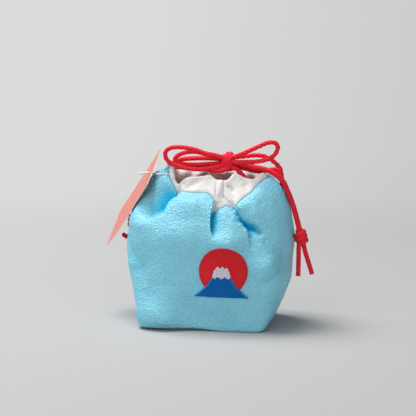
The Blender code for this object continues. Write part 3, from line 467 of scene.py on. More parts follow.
LEFT_SIDE_HEIGHTS = (0, 3, 8, 15, 24, 32, 42, 50, 58, 66, 71, 76, 84, 96)
LEFT_SIDE_INSETS = (2.6, 3.8, 5.2, 5.2, 3.2, 1, -1.3, -1.8, -0.6, 0.9, 1, 0, -1.2, -1.2)


def plain_skin(turn, height):
    """The bag's outside without its folds, in millimetres: x, y and z at places round it and heights."""
    below = np.clip(1.0 - np.maximum(height, 0.0) / BULGE_HEIGHT, 0.0, 1.0) ** 2.2
    share = np.maximum((height - BULGE_HEIGHT) / (RIM_LEVEL - BULGE_HEIGHT), 0.0)
    bend = np.minimum(share / 1.12, 1.0) * math.pi / 2.0
    half_width = HALF_WIDTH - 12.3 * below - 18.3 * share ** 2.5
    half_depth = HALF_DEPTH - 6.0 * below - 23.5 * np.sin(bend) ** 3.0
    low = smooth_step(height / BULGE_HEIGHT)
    foot = np.clip(1.0 - height / 26.0, 0.0, 1.0) ** 2
    power = np.where(height < BULGE_HEIGHT, 6.0 - 3.3 * low + 8.0 * foot, 2.7 - 0.4 * np.minimum(share, 1.0))
    middle_shade = 3.2 * smooth_step((height - 68.0) / 24.0)
    cosine, sine = np.cos(math.tau * turn), np.sin(math.tau * turn)
    reach = (np.abs(cosine) ** power + np.abs(sine) ** power) ** (-1.0 / power)
    x = middle_shade + half_width * cosine * reach
    fuller_right = 1.9 * smooth_step((height - 44.0) / 20.0) * smooth_step(cosine * 1.6)
    shifted_foot = -2.5 * np.clip(1.0 - height / 34.0, 0.0, 1.0) ** 1.6
    y = half_depth * sine * reach
    forward = 3.4 + 3.0 * smooth_step((8.0 - x) / 34.0)
    near_foot = -forward * smooth_step(-sine * 1.5) * np.clip(1.0 - height / 30.0, 0.0, 1.0)
    straight_left = np.interp(height, LEFT_SIDE_HEIGHTS, LEFT_SIDE_INSETS) * smooth_step(-cosine * 1.6)
    return np.stack([x + fuller_right + shifted_foot + straight_left, y + near_foot, height], axis=-1)


# Each fold: its line from the top down (across, height), its depth along the line, how far the cloth takes
# to rise again on its left and right, as seen from that side of the bag, and how far its bottom slides
# sideways for its depth, so that one side laps over it.
FRONT_FOLDS = (
    (((-18.8, 99), (-18.6, 94), (-19.4, 90.2), (-22.2, 88.2), (-26, 86.2), (-29.2, 83.6), (-34, 80.8),
      (-39.5, 78.6)), (1.5, 5, 9, 11.5, 10.5, 7.5, 3.5, 0), 9, 1.4, 0),
    (((-25, 85.5), (-30, 81.2), (-37, 77.6), (-47, 74.2)), (2.5, 5.6, 4.4, 0), 8.5, 4.6, 0),
    (((8, 86.5), (7.8, 83), (7.5, 79.2), (6.7, 75.6), (6.8, 72.4), (7.5, 68.4), (8.3, 65.6), (9.4, 62.5)),
     (1.5, 4.5, 8, 10, 10, 7, 3.5, 0), 0.8, 6, -0.42),
    (((19.6, 84), (20.6, 81.9), (23.4, 78.8), (26, 75.9), (29.8, 73.3), (33.5, 71.6), (36, 69.9),
      (38.5, 67.5), (40.5, 64.5)), (2, 3.5, 6, 9, 11.5, 11.5, 9, 4.5, 0), 3.8, 1, 0),
    (((24.6, 80.6), (27.4, 76), (30.2, 71.6), (31.5, 68.6), (32.6, 64.6), (33, 59.5), (33.2, 55)),
     (0, 3.2, 6.6, 7, 5, 2.4, 0), 1.2, 5, -0.34),
    (((-58, 58), (-50, 50), (-43, 41), (-36, 30)), (0, 2.6, 2.8, 0), 13, 12, 0),
    (((52, 60), (53, 50), (50, 41), (44, 34.5), (37, 31)), (0, 2.4, 3.2, 2.6, 0), 7, 4, 0),
    (((20, 28), (32, 22), (44, 18), (52, 16)), (0, 1.6, 1.8, 0.8), 12, 8, 0),
    (((-22, 24), (-8, 14), (14, 11), (34, 13)), (0, 1.7, 1.6, 0), 12, 11, 0),
)
FRONT_RISES = (
    (-23, 6, 12, 11, 2.8), (-32, 11, 12, 10, 2.8), (42, 43.5, 8.5, 10, 6.8), (17, 58.5, 10, 7, 5),
    (-8, 82, 12, 6, 2.2), (33, 84, 9, 10, 1.8), (-44, 69, 9, 5.5, 2.2), (-14, 58, 12, 14, 1.6),
    (9.4, 92, 2, 8, 1.3),
)
YOKE_FOLDS = (
    (((6.2, 101), (6.4, 97.6), (6.7, 92.4), (7.2, 86.5)), (1.6, 2.2, 2.2, 1.6), 0.55, 0.6, 0),
    (((11.6, 101), (11.8, 97.6), (12.1, 92.4), (12.8, 88.5), (16.1, 85.5), (19.6, 83.4)),
     (1.6, 2, 2, 2.2, 2.4, 1.8), 0.55, 0.9, 0),
    (((14, 96.2), (15.2, 94.6), (17.4, 92.8), (20.5, 90.8)), (0.4, 3, 2.4, 0), 0.8, 2, 0),
    (((-18.2, 98), (-15.6, 96), (-12.5, 93.5)), (2, 1.6, 0), 3, 2.2, 0),
    (((0, 102.5), (-4.5, 99.2), (-9.5, 96), (-15.5, 92.6)), (0.4, 1.6, 1.7, 0.8), 4.5, 3, 0),
    (((25, 100), (26.5, 96), (28.5, 91.5)), (1.8, 1.4, 0), 2.6, 3.2, 0),
    (((33.5, 103.5), (33, 99.5), (33.5, 96)), (1.1, 0.8, 0), 1.8, 2.2, 0),
)
BACK_FOLDS = (
    (((-22, 104), (-24, 92), (-29, 82), (-33, 72), (-36, 62)),
     (3.2, 6.4, 6, 3, 0), 9, 2.6, 0),
    (((-2, 104), (-1.5, 90), (-3.5, 80), (-5, 70), (-7, 60)),
     (3, 7, 6.6, 3.4, 0), 2.4, 8, 0),
    (((19, 104), (21.5, 92), (26, 82), (30, 72), (34, 62)),
     (3.2, 6, 5.8, 3, 0), 2.8, 9, 0),
    (((-12, 104), (-12.5, 94), (-14, 86)), (2.4, 1.8, 0), 2.4, 3, 0),
    (((9, 104), (9.5, 94), (11, 85)), (2.4, 1.8, 0), 3, 2.4, 0),
    (((-50, 60), (-40, 42), (-30, 30)), (0, 2, 0), 13, 12, 0),
    (((44, 62), (36, 44), (30, 28)), (0, 1.8, 0), 12, 13, 0),
)


def fold_pull(folds, across, height):
    """How far the cloth is drawn in at points of one side of the bag, and how far it slides sideways."""
    total, slide = np.zeros_like(across), np.zeros_like(across)
    for line, depths, left, right, lean in folds:
        pulls, distances = [], []
        for index in range(len(line) - 1):
            (x0, z0), (x1, z1) = line[index], line[index + 1]
            run = math.hypot(x1 - x0, z1 - z0)
            share = np.clip(((across - x0) * (x1 - x0) + (height - z0) * (z1 - z0)) / run ** 2, 0.0, 1.0)
            off_x, off_z = across - (x0 + (x1 - x0) * share), height - (z0 + (z1 - z0) * share)
            distance = np.hypot(off_x, off_z)
            side = ((x1 - x0) * off_z - (z1 - z0) * off_x) / np.maximum(distance * run, 1e-6)
            width = left + (right - left) * smooth_step((side + 1.0) / 2.0)
            depth = depths[index] + (depths[index + 1] - depths[index]) * share
            away = 1.0 - smooth_step(distance / (1.6 * width))
            pulls.append(depth * (0.75 * away ** 1.4 + 0.25 * np.exp(-distance / (0.35 * width))))
            distances.append(distance)
        nearest = np.minimum.reduce(distances)
        weights = [np.exp(-(distance - nearest) / 1.6) for distance in distances]
        best = sum(weight * pull for weight, pull in zip(weights, pulls)) / sum(weights)
        total = np.maximum(total, best) + 0.35 * np.minimum(total, best)
        slide = slide + lean * best
    return total, slide


def cloth_noise(points, size, seed):
    """Smooth wandering values over the cloth, with features about size millimetres wide."""
    flat = points.reshape(-1, 3)
    values = [noise.noise(Vector((x / size + seed, y / size - seed, z / size))) for x, y, z in flat]
    return np.array(values).reshape(points.shape[:-1])


SEAM_RADIUS = 30.0
FLARE_HEIGHTS = (40, 60, 75, 83, 92, 104, 112)
FLARE_WIDTHS = (0, 0.8, 2.2, 2.7, 4.1, 4.4, 4)
CARD_PLACE = np.array([-41.0, -3.0, RIM_LEVEL + 1.2])
CARD_NORMAL = np.array([-0.848, -0.249, 0.469])


def folded_skin(turn, height, slack=1.0):
    """The bag's outside with folds, lobes and creases in millimetres, its normals and its pull inwards."""
    turn, height = np.broadcast_arrays(turn, height)
    step_turn, step_rise = 0.004, 0.4
    around = plain_skin(turn + step_turn, height) - plain_skin(turn - step_turn, height)
    upwards = plain_skin(turn, height + step_rise) - plain_skin(turn, height - step_rise)
    outward = np.cross(around, upwards)
    outward /= np.linalg.norm(outward, axis=-1)[..., None]
    skin = plain_skin(turn, height)
    across, sine = skin[..., 0], np.sin(math.tau * turn)
    front, back = smooth_step(-sine * 2.2), smooth_step(sine * 2.2)
    line, rim = read_shares(SNOWLINE_SHARES, turn), rim_level(turn)
    rises = np.zeros_like(across)
    for x, z, half_x, half_z, lift in FRONT_RISES:
        rises = rises + lift * np.exp(-((across - x) / half_x) ** 2 - ((height - z) / half_z) ** 2)
    front_pull, slide = fold_pull(FRONT_FOLDS + YOKE_FOLDS, across, height)
    back_pull = fold_pull(BACK_FOLDS, across, height)[0]
    pull = front_pull * front + back_pull * back
    pull = pull * (1.0 - 0.55 * smooth_step((height - rim + 9.0) / 9.0))
    under = line - height
    swell = np.clip(under / 5.0, 0.0, None)
    puff = 1.9 * swell * np.exp(1.0 - swell) * (line < rim)
    groove = 0.55 * np.exp(-(under / 0.9) ** 2) * (line < rim)
    gather = smooth_step((height - 74.0) / 22.0)
    wander = (cloth_noise(skin, 19.0, 3.1) * 1.1
              + cloth_noise(skin * (1.0, 1.0, 0.4), 6.0, 7.7) * (0.28 + 0.75 * gather * (1.0 - 0.6 * front))
              + cloth_noise(skin, 2.6, 1.3) * 0.10)
    seam_reach = seam_distance(turn) * math.tau * SEAM_RADIUS
    seam_pull = 0.7 * np.exp(-(seam_reach / 0.9) ** 2) + 0.5 * np.exp(-(seam_reach / 3.5) ** 2)
    edge = np.clip(2.2 - height, 0.0, 2.2)
    turned_under = 2.2 - np.sqrt(np.maximum(2.2 ** 2 - edge ** 2, 0.0))
    moved = slack * (puff + rises * front - pull - groove + wander) - seam_pull - turned_under
    low = smooth_step(height / 6.0)
    points = skin + outward * (moved * (0.35 + 0.65 * low))[..., None]
    flare = np.interp(height, FLARE_HEIGHTS, FLARE_WIDTHS)
    place = np.mod(turn, 1.0)
    flare = flare * smooth_step((place - 0.484) / 0.030) * (1.0 - smooth_step((place - 0.545) / 0.075))
    points[..., 0] += slide * front - flare
    beyond = np.maximum((points - CARD_PLACE) @ CARD_NORMAL + 1.1, 0.0)
    points = points - CARD_NORMAL * (beyond * (points[..., 0] < 0.0))[..., None]
    return points, outward, pull


def crepe(name, light, dark, fold_shade, roughness, coarseness):
    """Crepe with a pebbled grain: small rounded bumps of uneven size, and painted shade that deepens the
    colour down in the folds.
    """
    finish, tree, shader = new_finish(name, light, roughness, Sheen_Weight=0.10, Sheen_Tint=(*light, 1.0),
                                      Specular_IOR_Level=0.55)
    pebbles = grain(tree, 820.0, 0.0, "ShaderNodeTexVoronoi", feature="SMOOTH_F1", Smoothness=0.5)
    fine = grain(tree, 2400.0, 3.0)
    broad = grain(tree, 90.0, 3.0)
    slant = add_node(tree, "ShaderNodeMapping", add_node(tree, "ShaderNodeTexCoord").outputs["Object"],
                     Rotation=(0.0, math.radians(38.0), 0.0), Scale=(1.5, 1.0, 0.6))
    crinkles = grain(tree, 520.0, 3.0, Distortion=1.2, Vector=slant.outputs["Vector"])
    first = add_bump(shader, pebbles, -0.75 * MM * coarseness, 0.8)
    second = add_bump(shader, crinkles, 0.6 * MM * coarseness, 0.7, first)
    add_bump(shader, fine, 0.16 * MM * coarseness, 0.5, second)
    mix = add_node(tree, "ShaderNodeMix", data_type="RGBA", blend_type="MULTIPLY", Factor=0.5,
                   A=tint_by(tree, pebbles, light, dark, 0.10, 0.70),
                   B=tint_by(tree, broad, (0.88, 0.90, 0.92), (1.0, 1.0, 1.0), 0.3, 0.7))
    # Painted shade: down in the folds the colour turns to a deeper, more saturated fold shade, as far as the
    # cloth is drawn in.
    drawn_in = read_at_points(tree, "drawn_in")
    ramp = add_node(tree, "ShaderNodeMapRange", Value=drawn_in, From_Min=1.5, From_Max=6.0)
    folds = add_node(tree, "ShaderNodeMix", data_type="RGBA", Factor=ramp.outputs["Result"],
                     A=mix.outputs["Result"], B=(*fold_shade, 1.0))
    fill(shader, Base_Color=folds.outputs["Result"])
    return finish


# The third colour of each crepe is its painted fold shade.
blue_crepe = crepe("sky_blue_crepe", (0.33, 0.79, 0.95), (0.225, 0.68, 0.87), (0.0, 0.60, 0.90), 0.46, 1.0)
white_crepe = crepe("white_crepe", (0.84, 0.81, 0.79), (0.80, 0.765, 0.745), (0.75, 0.69, 0.65), 0.6, 0.35)
CLOTH = 0.8


def sew_sheet(name, points, finish, thickness=CLOTH, drawn_in=0.0):
    """A sheet of cloth from rows of points in millimetres, outside first, given its thickness inwards."""
    rows, columns = points.shape[:2]
    cloth = make_piece(name, points * MM, grid_faces(rows, columns), finish,
                       drawn_in=np.broadcast_to(drawn_in, (rows, columns)))
    thick = cloth.modifiers.new("thickness", "SOLIDIFY")
    thick.thickness = thickness * MM
    thick.offset = -1.0
    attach(cloth, "pouch")
    return cloth


MOUTH_RADIUS, SLIT_HALF_WIDTH, SLIT_DEPTH = 14.5, 6.5, 11.0


def slit_drop(turn):
    """The cloth's top edge dips at each side seam, where the cords come out of their channel."""
    share = seam_distance(turn) * math.tau * MOUTH_RADIUS / SLIT_HALF_WIDTH
    return SLIT_DEPTH * (1.0 - smooth_step((share - 0.55) / 0.45))


def rolled(share):
    """How far a rolled edge has turned in, from 0 where the roll starts to 1 at the edge."""
    return 1.0 - np.sqrt(1.0 - share ** 2)


def closer_upwards(rows, part):
    """A column of shares from 0 to 1 that lie closer together towards 1."""
    share = np.linspace(0.0, 1.0, rows + 1)[:, None]
    return share * (1.0 - part) + part * (1.0 - (1.0 - share) ** 2)


def blue_panel(name, start, end, columns, rows):
    """A blue panel between two seams, up to the yoke or the slit, with its lower left edge lifted."""
    turn = np.linspace(start, end, columns + 1)
    rim, line = rim_level(turn), read_shares(SNOWLINE_SHARES, turn)
    top = np.minimum(rim - slit_drop(turn), line)
    height = closer_upwards(rows, 0.2) * top
    points, outward, pull = folded_skin(turn, height)
    roll = np.clip(1.0 - (top - height) / 1.0, 0.0, 1.0)
    points = points - outward * (0.55 * rolled(roll))[..., None]
    lifted = 1.6 * smooth_step((14.0 - points[..., 0]) / 22.0) * smooth_step((-10.0 - points[..., 1]) / 14.0)
    points[..., 2] += lifted * (1.0 - smooth_step(height / 10.0))
    # The cloth's pull is kept as its painted shade depth, which paints shade into the folds.
    panel = sew_sheet(name, points, blue_crepe, drawn_in=pull)
    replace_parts(panel, name.replace("_cloth", ""))


blue_panel("outer_front_panel_cloth", LEFT_SEAM, RIGHT_SEAM + 1.0, 400, 200)
blue_panel("outer_back_panel_cloth", RIGHT_SEAM, LEFT_SEAM, 240, 140)

# Base: one flat piece of the same blue crepe with rounded corners, sewn inside the bottom edges of the front
# and the back. It lies on the table.
BASE_SHARES = (0.962, 0.948, 1.0)
rings, spokes = 16, 120
turn = np.linspace(0.0, 1.0, spokes + 1)
edge = plain_skin(turn, np.zeros_like(turn))
reach = (np.linspace(0.02, 1.0, rings + 1) ** 0.8)[:, None, None]
base_points = edge * reach * BASE_SHARES
sewn_edge = 0.5 * np.exp(-((1.0 - reach[..., 0]) / 0.03) ** 2)
base_points[..., 2] = 0.15 + sewn_edge + 0.10 * (1.0 + cloth_noise(base_points, 14.0, 5.0))
base_points[..., 1] += 3.0 * smooth_step((-12.0 - base_points[..., 1]) / 14.0)
base_points = base_points[:, ::-1]
base_cloth = sew_sheet("base_cloth", base_points, blue_crepe, 0.6)
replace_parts(base_cloth, "base_panel")


# Yokes: the white crepe at the top of the front and back. Its lower edge is sewn to the blue, and its upper
# edge is turned in over the cord channel, where it meets the lining.
def yoke(name, start, end, columns, rows):
    """A white yoke between two seams, where the rim stands above the line that it is sewn to."""
    turn = np.linspace(start, end, 1200)
    bare = rim_level(turn) - read_shares(SNOWLINE_SHARES, turn) > 0.25
    turn = np.linspace(turn[bare][0], turn[bare][-1], columns + 1)
    rim, line = rim_level(turn), read_shares(SNOWLINE_SHARES, turn)
    share = np.linspace(0.0, 1.0, rows + 1)[:, None]
    height = line + (rim - line) * share
    points, outward, pull = folded_skin(turn, height)
    roll = np.clip(1.0 - (rim - height) / 1.2, 0.0, 1.0)
    foot = np.clip(1.0 - (height - line) / 0.9, 0.0, 1.0)
    inward = 0.9 * rolled(roll) + 0.5 * rolled(foot)
    points = points - outward * inward[..., None]
    # Half the pull is kept as painted shade depth, so the white's folds get a lighter painted shade.
    piece = sew_sheet(name, points, white_crepe, drawn_in=pull * 0.5)
    return piece


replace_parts(yoke("front_yoke_cloth", LEFT_SEAM, RIGHT_SEAM + 1.0, 260, 44), "snow_yoke_front")
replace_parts(yoke("back_yoke_cloth", RIGHT_SEAM, LEFT_SEAM, 220, 34), "snow_yoke_back")

# Lining: a thin beige cotton bag inside the outer one. Its top edge is turned out over the cord channel and
# sewn to the yokes, whose white cloth shows as a narrow band inside the rim.
LINING_FLOOR = 1.9
LINING_COLUMNS, LINING_ROWS, FLOOR_RINGS, BAND_FROM = 360, 70, 8, 66
beige_cotton, tree, shader = new_finish("beige_lining_cotton", (0.66, 0.52, 0.40), 0.85, Sheen_Weight=0.1)
threads = grain(tree, 900.0, 2.0)
add_bump(shader, threads, 0.12 * MM, 0.5)
fill(shader, Base_Color=tint_by(tree, threads, (0.76, 0.60, 0.45), (0.86, 0.72, 0.57), 0.35, 0.65))
turn = np.linspace(0.0, 1.0, LINING_COLUMNS + 1)
rim = rim_level(turn)
height = LINING_FLOOR + closer_upwards(LINING_ROWS, 0.3) * (rim - LINING_FLOOR)
wall, outward, pull = folded_skin(turn, height, slack=0.93)
below_rim = rim - height
inset = 2.4 + 3.4 * smooth_step((17.0 - below_rim) / 4.0) - 4.9 * (1.0 - smooth_step(below_rim / 2.4))
loose = smooth_step((below_rim - 7.0) / 7.0) * smooth_step((height - 42.0) / 14.0)
inset = inset + 10.0 * loose * smooth_step(-np.sin(math.tau * turn) * 2.2) + 0.3 * pull * loose
wall = wall - outward * inset[..., None]
wall[..., 2] = np.maximum(wall[..., 2], LINING_FLOOR)
wall[:, -1] = wall[:, 0]
floor_rows = []
for part in np.linspace(0.03, 0.94, FLOOR_RINGS):
    ring = wall[0] * (part, part, 1.0)
    ring[:, 2] = LINING_FLOOR
    floor_rows.append(ring)
lining_points = np.concatenate([np.array(floor_rows), wall])
lining = sew_sheet("lining_cloth", lining_points, beige_cotton, 0.5)
lining.data.materials.append(white_crepe)
for face in lining.data.polygons:
    face.material_index = 1 if face.index // LINING_COLUMNS > FLOOR_RINGS + BAND_FROM else 0
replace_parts(lining, "lining")


# Drawcords in their channel: each goes all the way round between the outer cloth and the lining, and turns up
# out of the slit at its own side, where its two leads begin.
SLIT_LANES = (1.7, 4.6)
CHANNEL_INSET, RIM_FOLLOWED, LEAD_GAP = 4.4, 0.3, 7.9
for name, seam, drop, corner, end in (
    ("right_cord_in_channel", RIGHT_SEAM, 5.8, (48.9, -6.7), (48.2, -0.9)),
    ("left_cord_in_channel", LEFT_SEAM, 9.6, (-44.6, -9.6), (-42.0, -4.0)),
):
    outward_sign = math.copysign(1.0, corner[0])
    lead_in = LEAD_GAP / (math.tau * MOUTH_RADIUS)
    turn = seam + lead_in / 2.0 + (1.0 - lead_in) * np.linspace(0.0, 1.0, 241)
    height = RIM_LEVEL + (read_shares(RIM_SHARES, turn) - RIM_LEVEL) * RIM_FOLLOWED - drop
    round_mouth, outward, pull = folded_skin(turn, height)
    round_mouth = round_mouth - outward * CHANNEL_INSET
    rim_at_seam = read_shares(RIM_SHARES, np.array([seam]))[0]
    level = float(RIM_LEVEL + (rim_at_seam - RIM_LEVEL) * RIM_FOLLOWED - drop)
    turned_up = []
    for lane in (SLIT_LANES[::-1] if outward_sign > 0.0 else SLIT_LANES):
        turned_up.append(np.array([(corner[0] - outward_sign * 5.0, lane, level),
                                   (corner[0], lane, RIM_LEVEL + corner[1]),
                                   (end[0], lane, RIM_LEVEL + end[1])]))
    stops = np.concatenate([turned_up[0][::-1], round_mouth[2:-2], turned_up[1]])
    smooth = evenly(stops * MM, 0.7 * MM)
    for _ in range(8):
        smooth[1:-1] = (smooth[:-2] + smooth[1:-1] * 2.0 + smooth[2:]) / 4.0
    channel_cord = braid_tube(name + "_braid", smooth, ends=(False, False))
    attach(channel_cord, "pouch")
    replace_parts(channel_cord, name)


# Embroidery: satin and fill stitches through the blue front in three thread colours, a red sun with a raised
# border behind a blue mountain with a white cap of snow.
def thread_finish(name, dark, light, across_scale, bands="X"):
    """Fine parallel stitches: ridges of thread laid side by side, with ends that wander."""
    finish, tree, shader = new_finish(name, light, 0.5, Specular_IOR_Level=0.15)
    along = add_node(tree, "ShaderNodeUVMap", uv_map="stitches")
    ridges = add_node(tree, "ShaderNodeTexWave", along.outputs["UV"], bands_direction=bands,
                      Scale=across_scale, Distortion=1.6, Detail=2.0, Detail_Scale=2.2).outputs["Fac"]
    drawn_in = read_at_points(tree, "drawn_in")
    # Painted shade: the thread turns a lilac grey where a piece holds a painted shade depth, as in the middle
    # of the snow cap.
    shade = add_node(tree, "ShaderNodeMix", data_type="RGBA", blend_type="MULTIPLY", Factor=1.0,
                     A=tint_by(tree, ridges, dark, light, 0.1, 0.7),
                     B=tint_by(tree, drawn_in, (1.0, 1.0, 1.0), (0.88, 0.89, 0.94), 0.5, 1.0))
    fill(shader, Base_Color=shade.outputs["Result"])
    add_bump(shader, ridges, 0.16 * MM, 0.8)
    return finish


red_fill = thread_finish("red_fill_stitches", (0.64, 0.011, 0.018), (1.00, 0.028, 0.044), 0.75, "Y")
red_satin = thread_finish("red_satin_border", (0.66, 0.012, 0.020), (0.98, 0.030, 0.045), 0.9)
blue_fill = thread_finish("blue_fill_stitches", (0.0, 0.080, 0.34), (0.0, 0.190, 0.62), 0.8)
blue_satin = thread_finish("blue_satin_border", (0.0, 0.12, 0.46), (0.004, 0.30, 0.80), 0.9)
white_fill = thread_finish("white_fill_stitches", (0.72, 0.71, 0.82), (0.98, 0.97, 1.00), 0.8)
SUN_X, SUN_Z, SUN_RADIUS, BORDER_WIDTH = 14.8, 40.9, 15.9, 2.0
PEAK_X, FOOT_Z, TOP_Z = 13.9, 23.6, 43.6
TILT = math.radians(-1.4)


def on_front(across, height, lift):
    """Points on the bag's front at places across and up, raised off the cloth by lift, in millimetres."""
    right, up = across - SUN_X, height - SUN_Z
    x = SUN_X + right * math.cos(TILT) - up * math.sin(TILT)
    z = SUN_Z + right * math.sin(TILT) + up * math.cos(TILT)
    turn = np.full_like(x, 0.75)
    for _ in range(12):
        here = plain_skin(turn, z)
        slope = (plain_skin(turn + 0.002, z)[..., 0] - here[..., 0]) / 0.002
        turn = turn + (x - here[..., 0]) / slope
    points, outward, pull = folded_skin(turn, z)
    return points + outward * np.asarray(lift)[..., None]


def stitch_patch(name, across, height, lift, finish, u, v, middle_shade=0.0):
    """Stitching over the front at places across and up, whose threads lie along u and v."""
    patch = sew_sheet(name, on_front(across, height, lift), finish, 0.35, middle_shade)
    layer = patch.data.uv_layers.new(name="stitches")
    corner = np.zeros(len(patch.data.loops), dtype=np.int64)
    patch.data.loops.foreach_get("vertex_index", corner)
    pairs = np.stack([np.broadcast_to(way, across.shape).reshape(-1)[corner] for way in (u, v)], axis=1)
    layer.data.foreach_set("uv", pairs.reshape(-1).astype(np.float32))
    return patch


def rounded(distance, height, width):
    """Raised height of stitching that falls to the cloth at its edge."""
    inside = np.clip(distance / width, 0.0, 1.0)
    return height * np.sqrt(1.0 - (1.0 - inside) ** 2)


angle = np.linspace(0.0, math.tau, 181)
radius = np.linspace(0.02, 1.0, 41)[:, None] * (SUN_RADIUS - 1.5)
across, height = SUN_X + radius * np.cos(angle), SUN_Z + radius * np.sin(angle)
stitch_patch("embroidered_sun_fill", across, height, 0.42, red_fill, across, height)
radius = SUN_RADIUS - BORDER_WIDTH + np.linspace(0.0, 1.0, 9)[:, None] * BORDER_WIDTH
across, height = SUN_X + radius * np.cos(angle), SUN_Z + radius * np.sin(angle)
edge_reach = np.minimum(radius - (SUN_RADIUS - BORDER_WIDTH), SUN_RADIUS - radius)
border_lift = 0.10 + rounded(edge_reach, 0.45, 0.8)
border = stitch_patch("embroidered_sun_border", across, height, border_lift, red_satin,
                      angle * SUN_RADIUS, radius)
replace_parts(border, "embroidered_sun")
FLANK_SHARES = (0.0, 0.20, 0.365, 0.675, 0.85, 1.0)
FLANK_WIDTHS = (4.4, 5.1, 6.5, 10.8, 14.4, 18.0)


def flank(height):
    """Half width of the mountain at a height: steep under its snow, then straight down to its foot."""
    share = np.clip((TOP_Z - height) / (TOP_Z - FOOT_Z), 0.0, 1.0)
    return np.interp(share, FLANK_SHARES, FLANK_WIDTHS)


u = np.linspace(-1.0, 1.0, 121)
v = np.linspace(0.0, 1.0, 61)[:, None]
snow_edge = TOP_Z - 7.6 + 1.3 * np.abs(np.cos(1.5 * math.pi * (u + 1.0)))
height = FOOT_Z + v * (snow_edge + 0.5 - FOOT_Z)
across = PEAK_X + flank(height) * u
reach = np.minimum((1.0 - np.abs(u)) * flank(height), height - FOOT_Z + 0.2)
mountain = stitch_patch("embroidered_mountain_fill", across, height, 0.66 + rounded(reach, 0.30, 0.7),
                        blue_fill, across, height)
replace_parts(mountain, "embroidered_mountain")
for side, hand in ((-1.0, "left"), (1.0, "right")):
    height = np.repeat(FOOT_Z + v * (TOP_Z - 7.2 - FOOT_Z), 9, axis=1)
    across = PEAK_X + side * (flank(height) - BORDER_WIDTH * np.linspace(1.0, 0.0, 9))
    if hand == "left":
        across, height = across[:, ::-1], height[:, ::-1]
    outward = side * (across - PEAK_X)
    edge_reach = np.minimum(flank(height) - outward, BORDER_WIDTH - flank(height) + outward)
    satin_lift = 0.98 + rounded(np.maximum(edge_reach, 0.0), 0.62, 1.0)
    stitch_patch("embroidered_mountain_edge_" + hand, across, height, satin_lift, blue_satin,
                 height, across)
crest = (TOP_Z + 0.1 + 0.62 * np.cos(9.8 * (u + 0.53)) - 0.5 * smooth_step((u - 0.35) / 0.4)
         - 2.2 * np.clip((np.abs(u) - 0.70) / 0.30, 0.0, 1.0) ** 2)
ragged_edge = snow_edge + 0.35 * np.sin(23.0 * u)
height = ragged_edge + v * (crest - ragged_edge)
across = PEAK_X + (flank(height) + 0.25 + 0.25 * np.sin(height * 3.1)) * u
reach = np.minimum((1.0 - np.abs(u)) * flank(height), np.minimum(height - ragged_edge, crest - height)) + 0.1
snow_lift = 0.95 + rounded(reach, 0.45, 0.6) + 0.16 * np.sin(across * 4.4 + 1.3 * np.sin(height * 1.7))
# The snow cap's last value is painted shade: its white turns a lilac grey towards the middle, away from its
# edges.
snow = stitch_patch("embroidered_snow_cap", across, height, snow_lift, white_fill, across,
                    height, reach / 1.5)
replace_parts(snow, "embroidered_snow")

# Hang tag: a piece of salmon-coloured card with rounded corners, punched once near its top edge. It hangs on
# the plastic loop and has a slight curl.
TAG_HINGE = Vector((-41.0, -3.0, RIM_LEVEL + 1.2))
long_axis = Vector((-0.530, 0.485, -0.696)).normalized()
tag_normal = long_axis.cross(Vector((-0.056, -0.839, -0.542))).normalized()
cross_axis = tag_normal.cross(long_axis)
salmon_card, tree, shader = new_finish("salmon_card", (0.78, 0.295, 0.25), 0.55)
fibres = grain(tree, 700.0, 4.0)
fill(shader, Base_Color=tint_by(tree, fibres, (0.69, 0.255, 0.22), (0.75, 0.295, 0.25), 0.3, 0.7))
add_bump(shader, fibres, 0.05 * MM, 0.35)
card_core, tree, shader = new_finish("card_core", (0.92, 0.72, 0.68), 0.8)
add_bump(shader, grain(tree, 1600.0, 3.0), 0.05 * MM, 0.6)
HOLE_RADIUS, STRAND_RADIUS, STRAND_PLAY = 1.6, 0.45, 0.3
CARD_HALF_THICKNESS, CORNER_CUT = 0.2, 0.45
SPOKES = 96
hole_shift = HOLE_RADIUS - STRAND_RADIUS - STRAND_PLAY
left, right, half = -8.5 + hole_shift, 61.5 + hole_shift, 20.0
card = bmesh.new()
ring_shares = np.concatenate([[0.0], np.linspace(0.0, 1.0, 26)[1:] ** 1.15])
spokes = []
for step in range(SPOKES):
    angle = math.tau * step / SPOKES
    dx, dy = math.cos(angle), math.sin(angle)
    to_side = ((right if dx > 0.0 else left) - hole_shift) / dx if abs(dx) > 1e-9 else 1e9
    to_edge = half / abs(dy) if abs(dy) > 1e-9 else 1e9
    spokes.append((dx, dy, min(to_side, to_edge)))
for x, y in ((right, half), (left, half), (left, -half), (right, -half)):
    aim_at = math.atan2(y, x - hole_shift)
    nearest = min(range(SPOKES), key=lambda k: abs((math.tau * k / SPOKES - aim_at + math.pi) % math.tau
                                                   - math.pi))
    dx = x - math.copysign(CORNER_CUT, x - hole_shift) - hole_shift
    dy = y - math.copysign(CORNER_CUT, y)
    reach = math.hypot(dx, dy)
    spokes[nearest] = (dx / reach, dy / reach, reach)
layers = {}
for level, half_thickness in enumerate((-CARD_HALF_THICKNESS, CARD_HALF_THICKNESS)):
    for ring, share in enumerate(ring_shares):
        for k, (dx, dy, reach) in enumerate(spokes):
            distance = HOLE_RADIUS + (reach - HOLE_RADIUS) * share
            x, y = hole_shift + dx * distance, dy * distance
            curl = 0.55 * ((x - 25.0) / 36.0) ** 2 + 0.15 * math.sin(x / 11.0 + y / 17.0)
            curl *= min(1.0, max(0.0, (distance - 2.0) / 12.0))
            lift = curl + half_thickness
            place = TAG_HINGE + long_axis * x + cross_axis * y + tag_normal * lift
            layers[level, ring, k] = card.verts.new(place * MM)
last = len(ring_shares) - 1
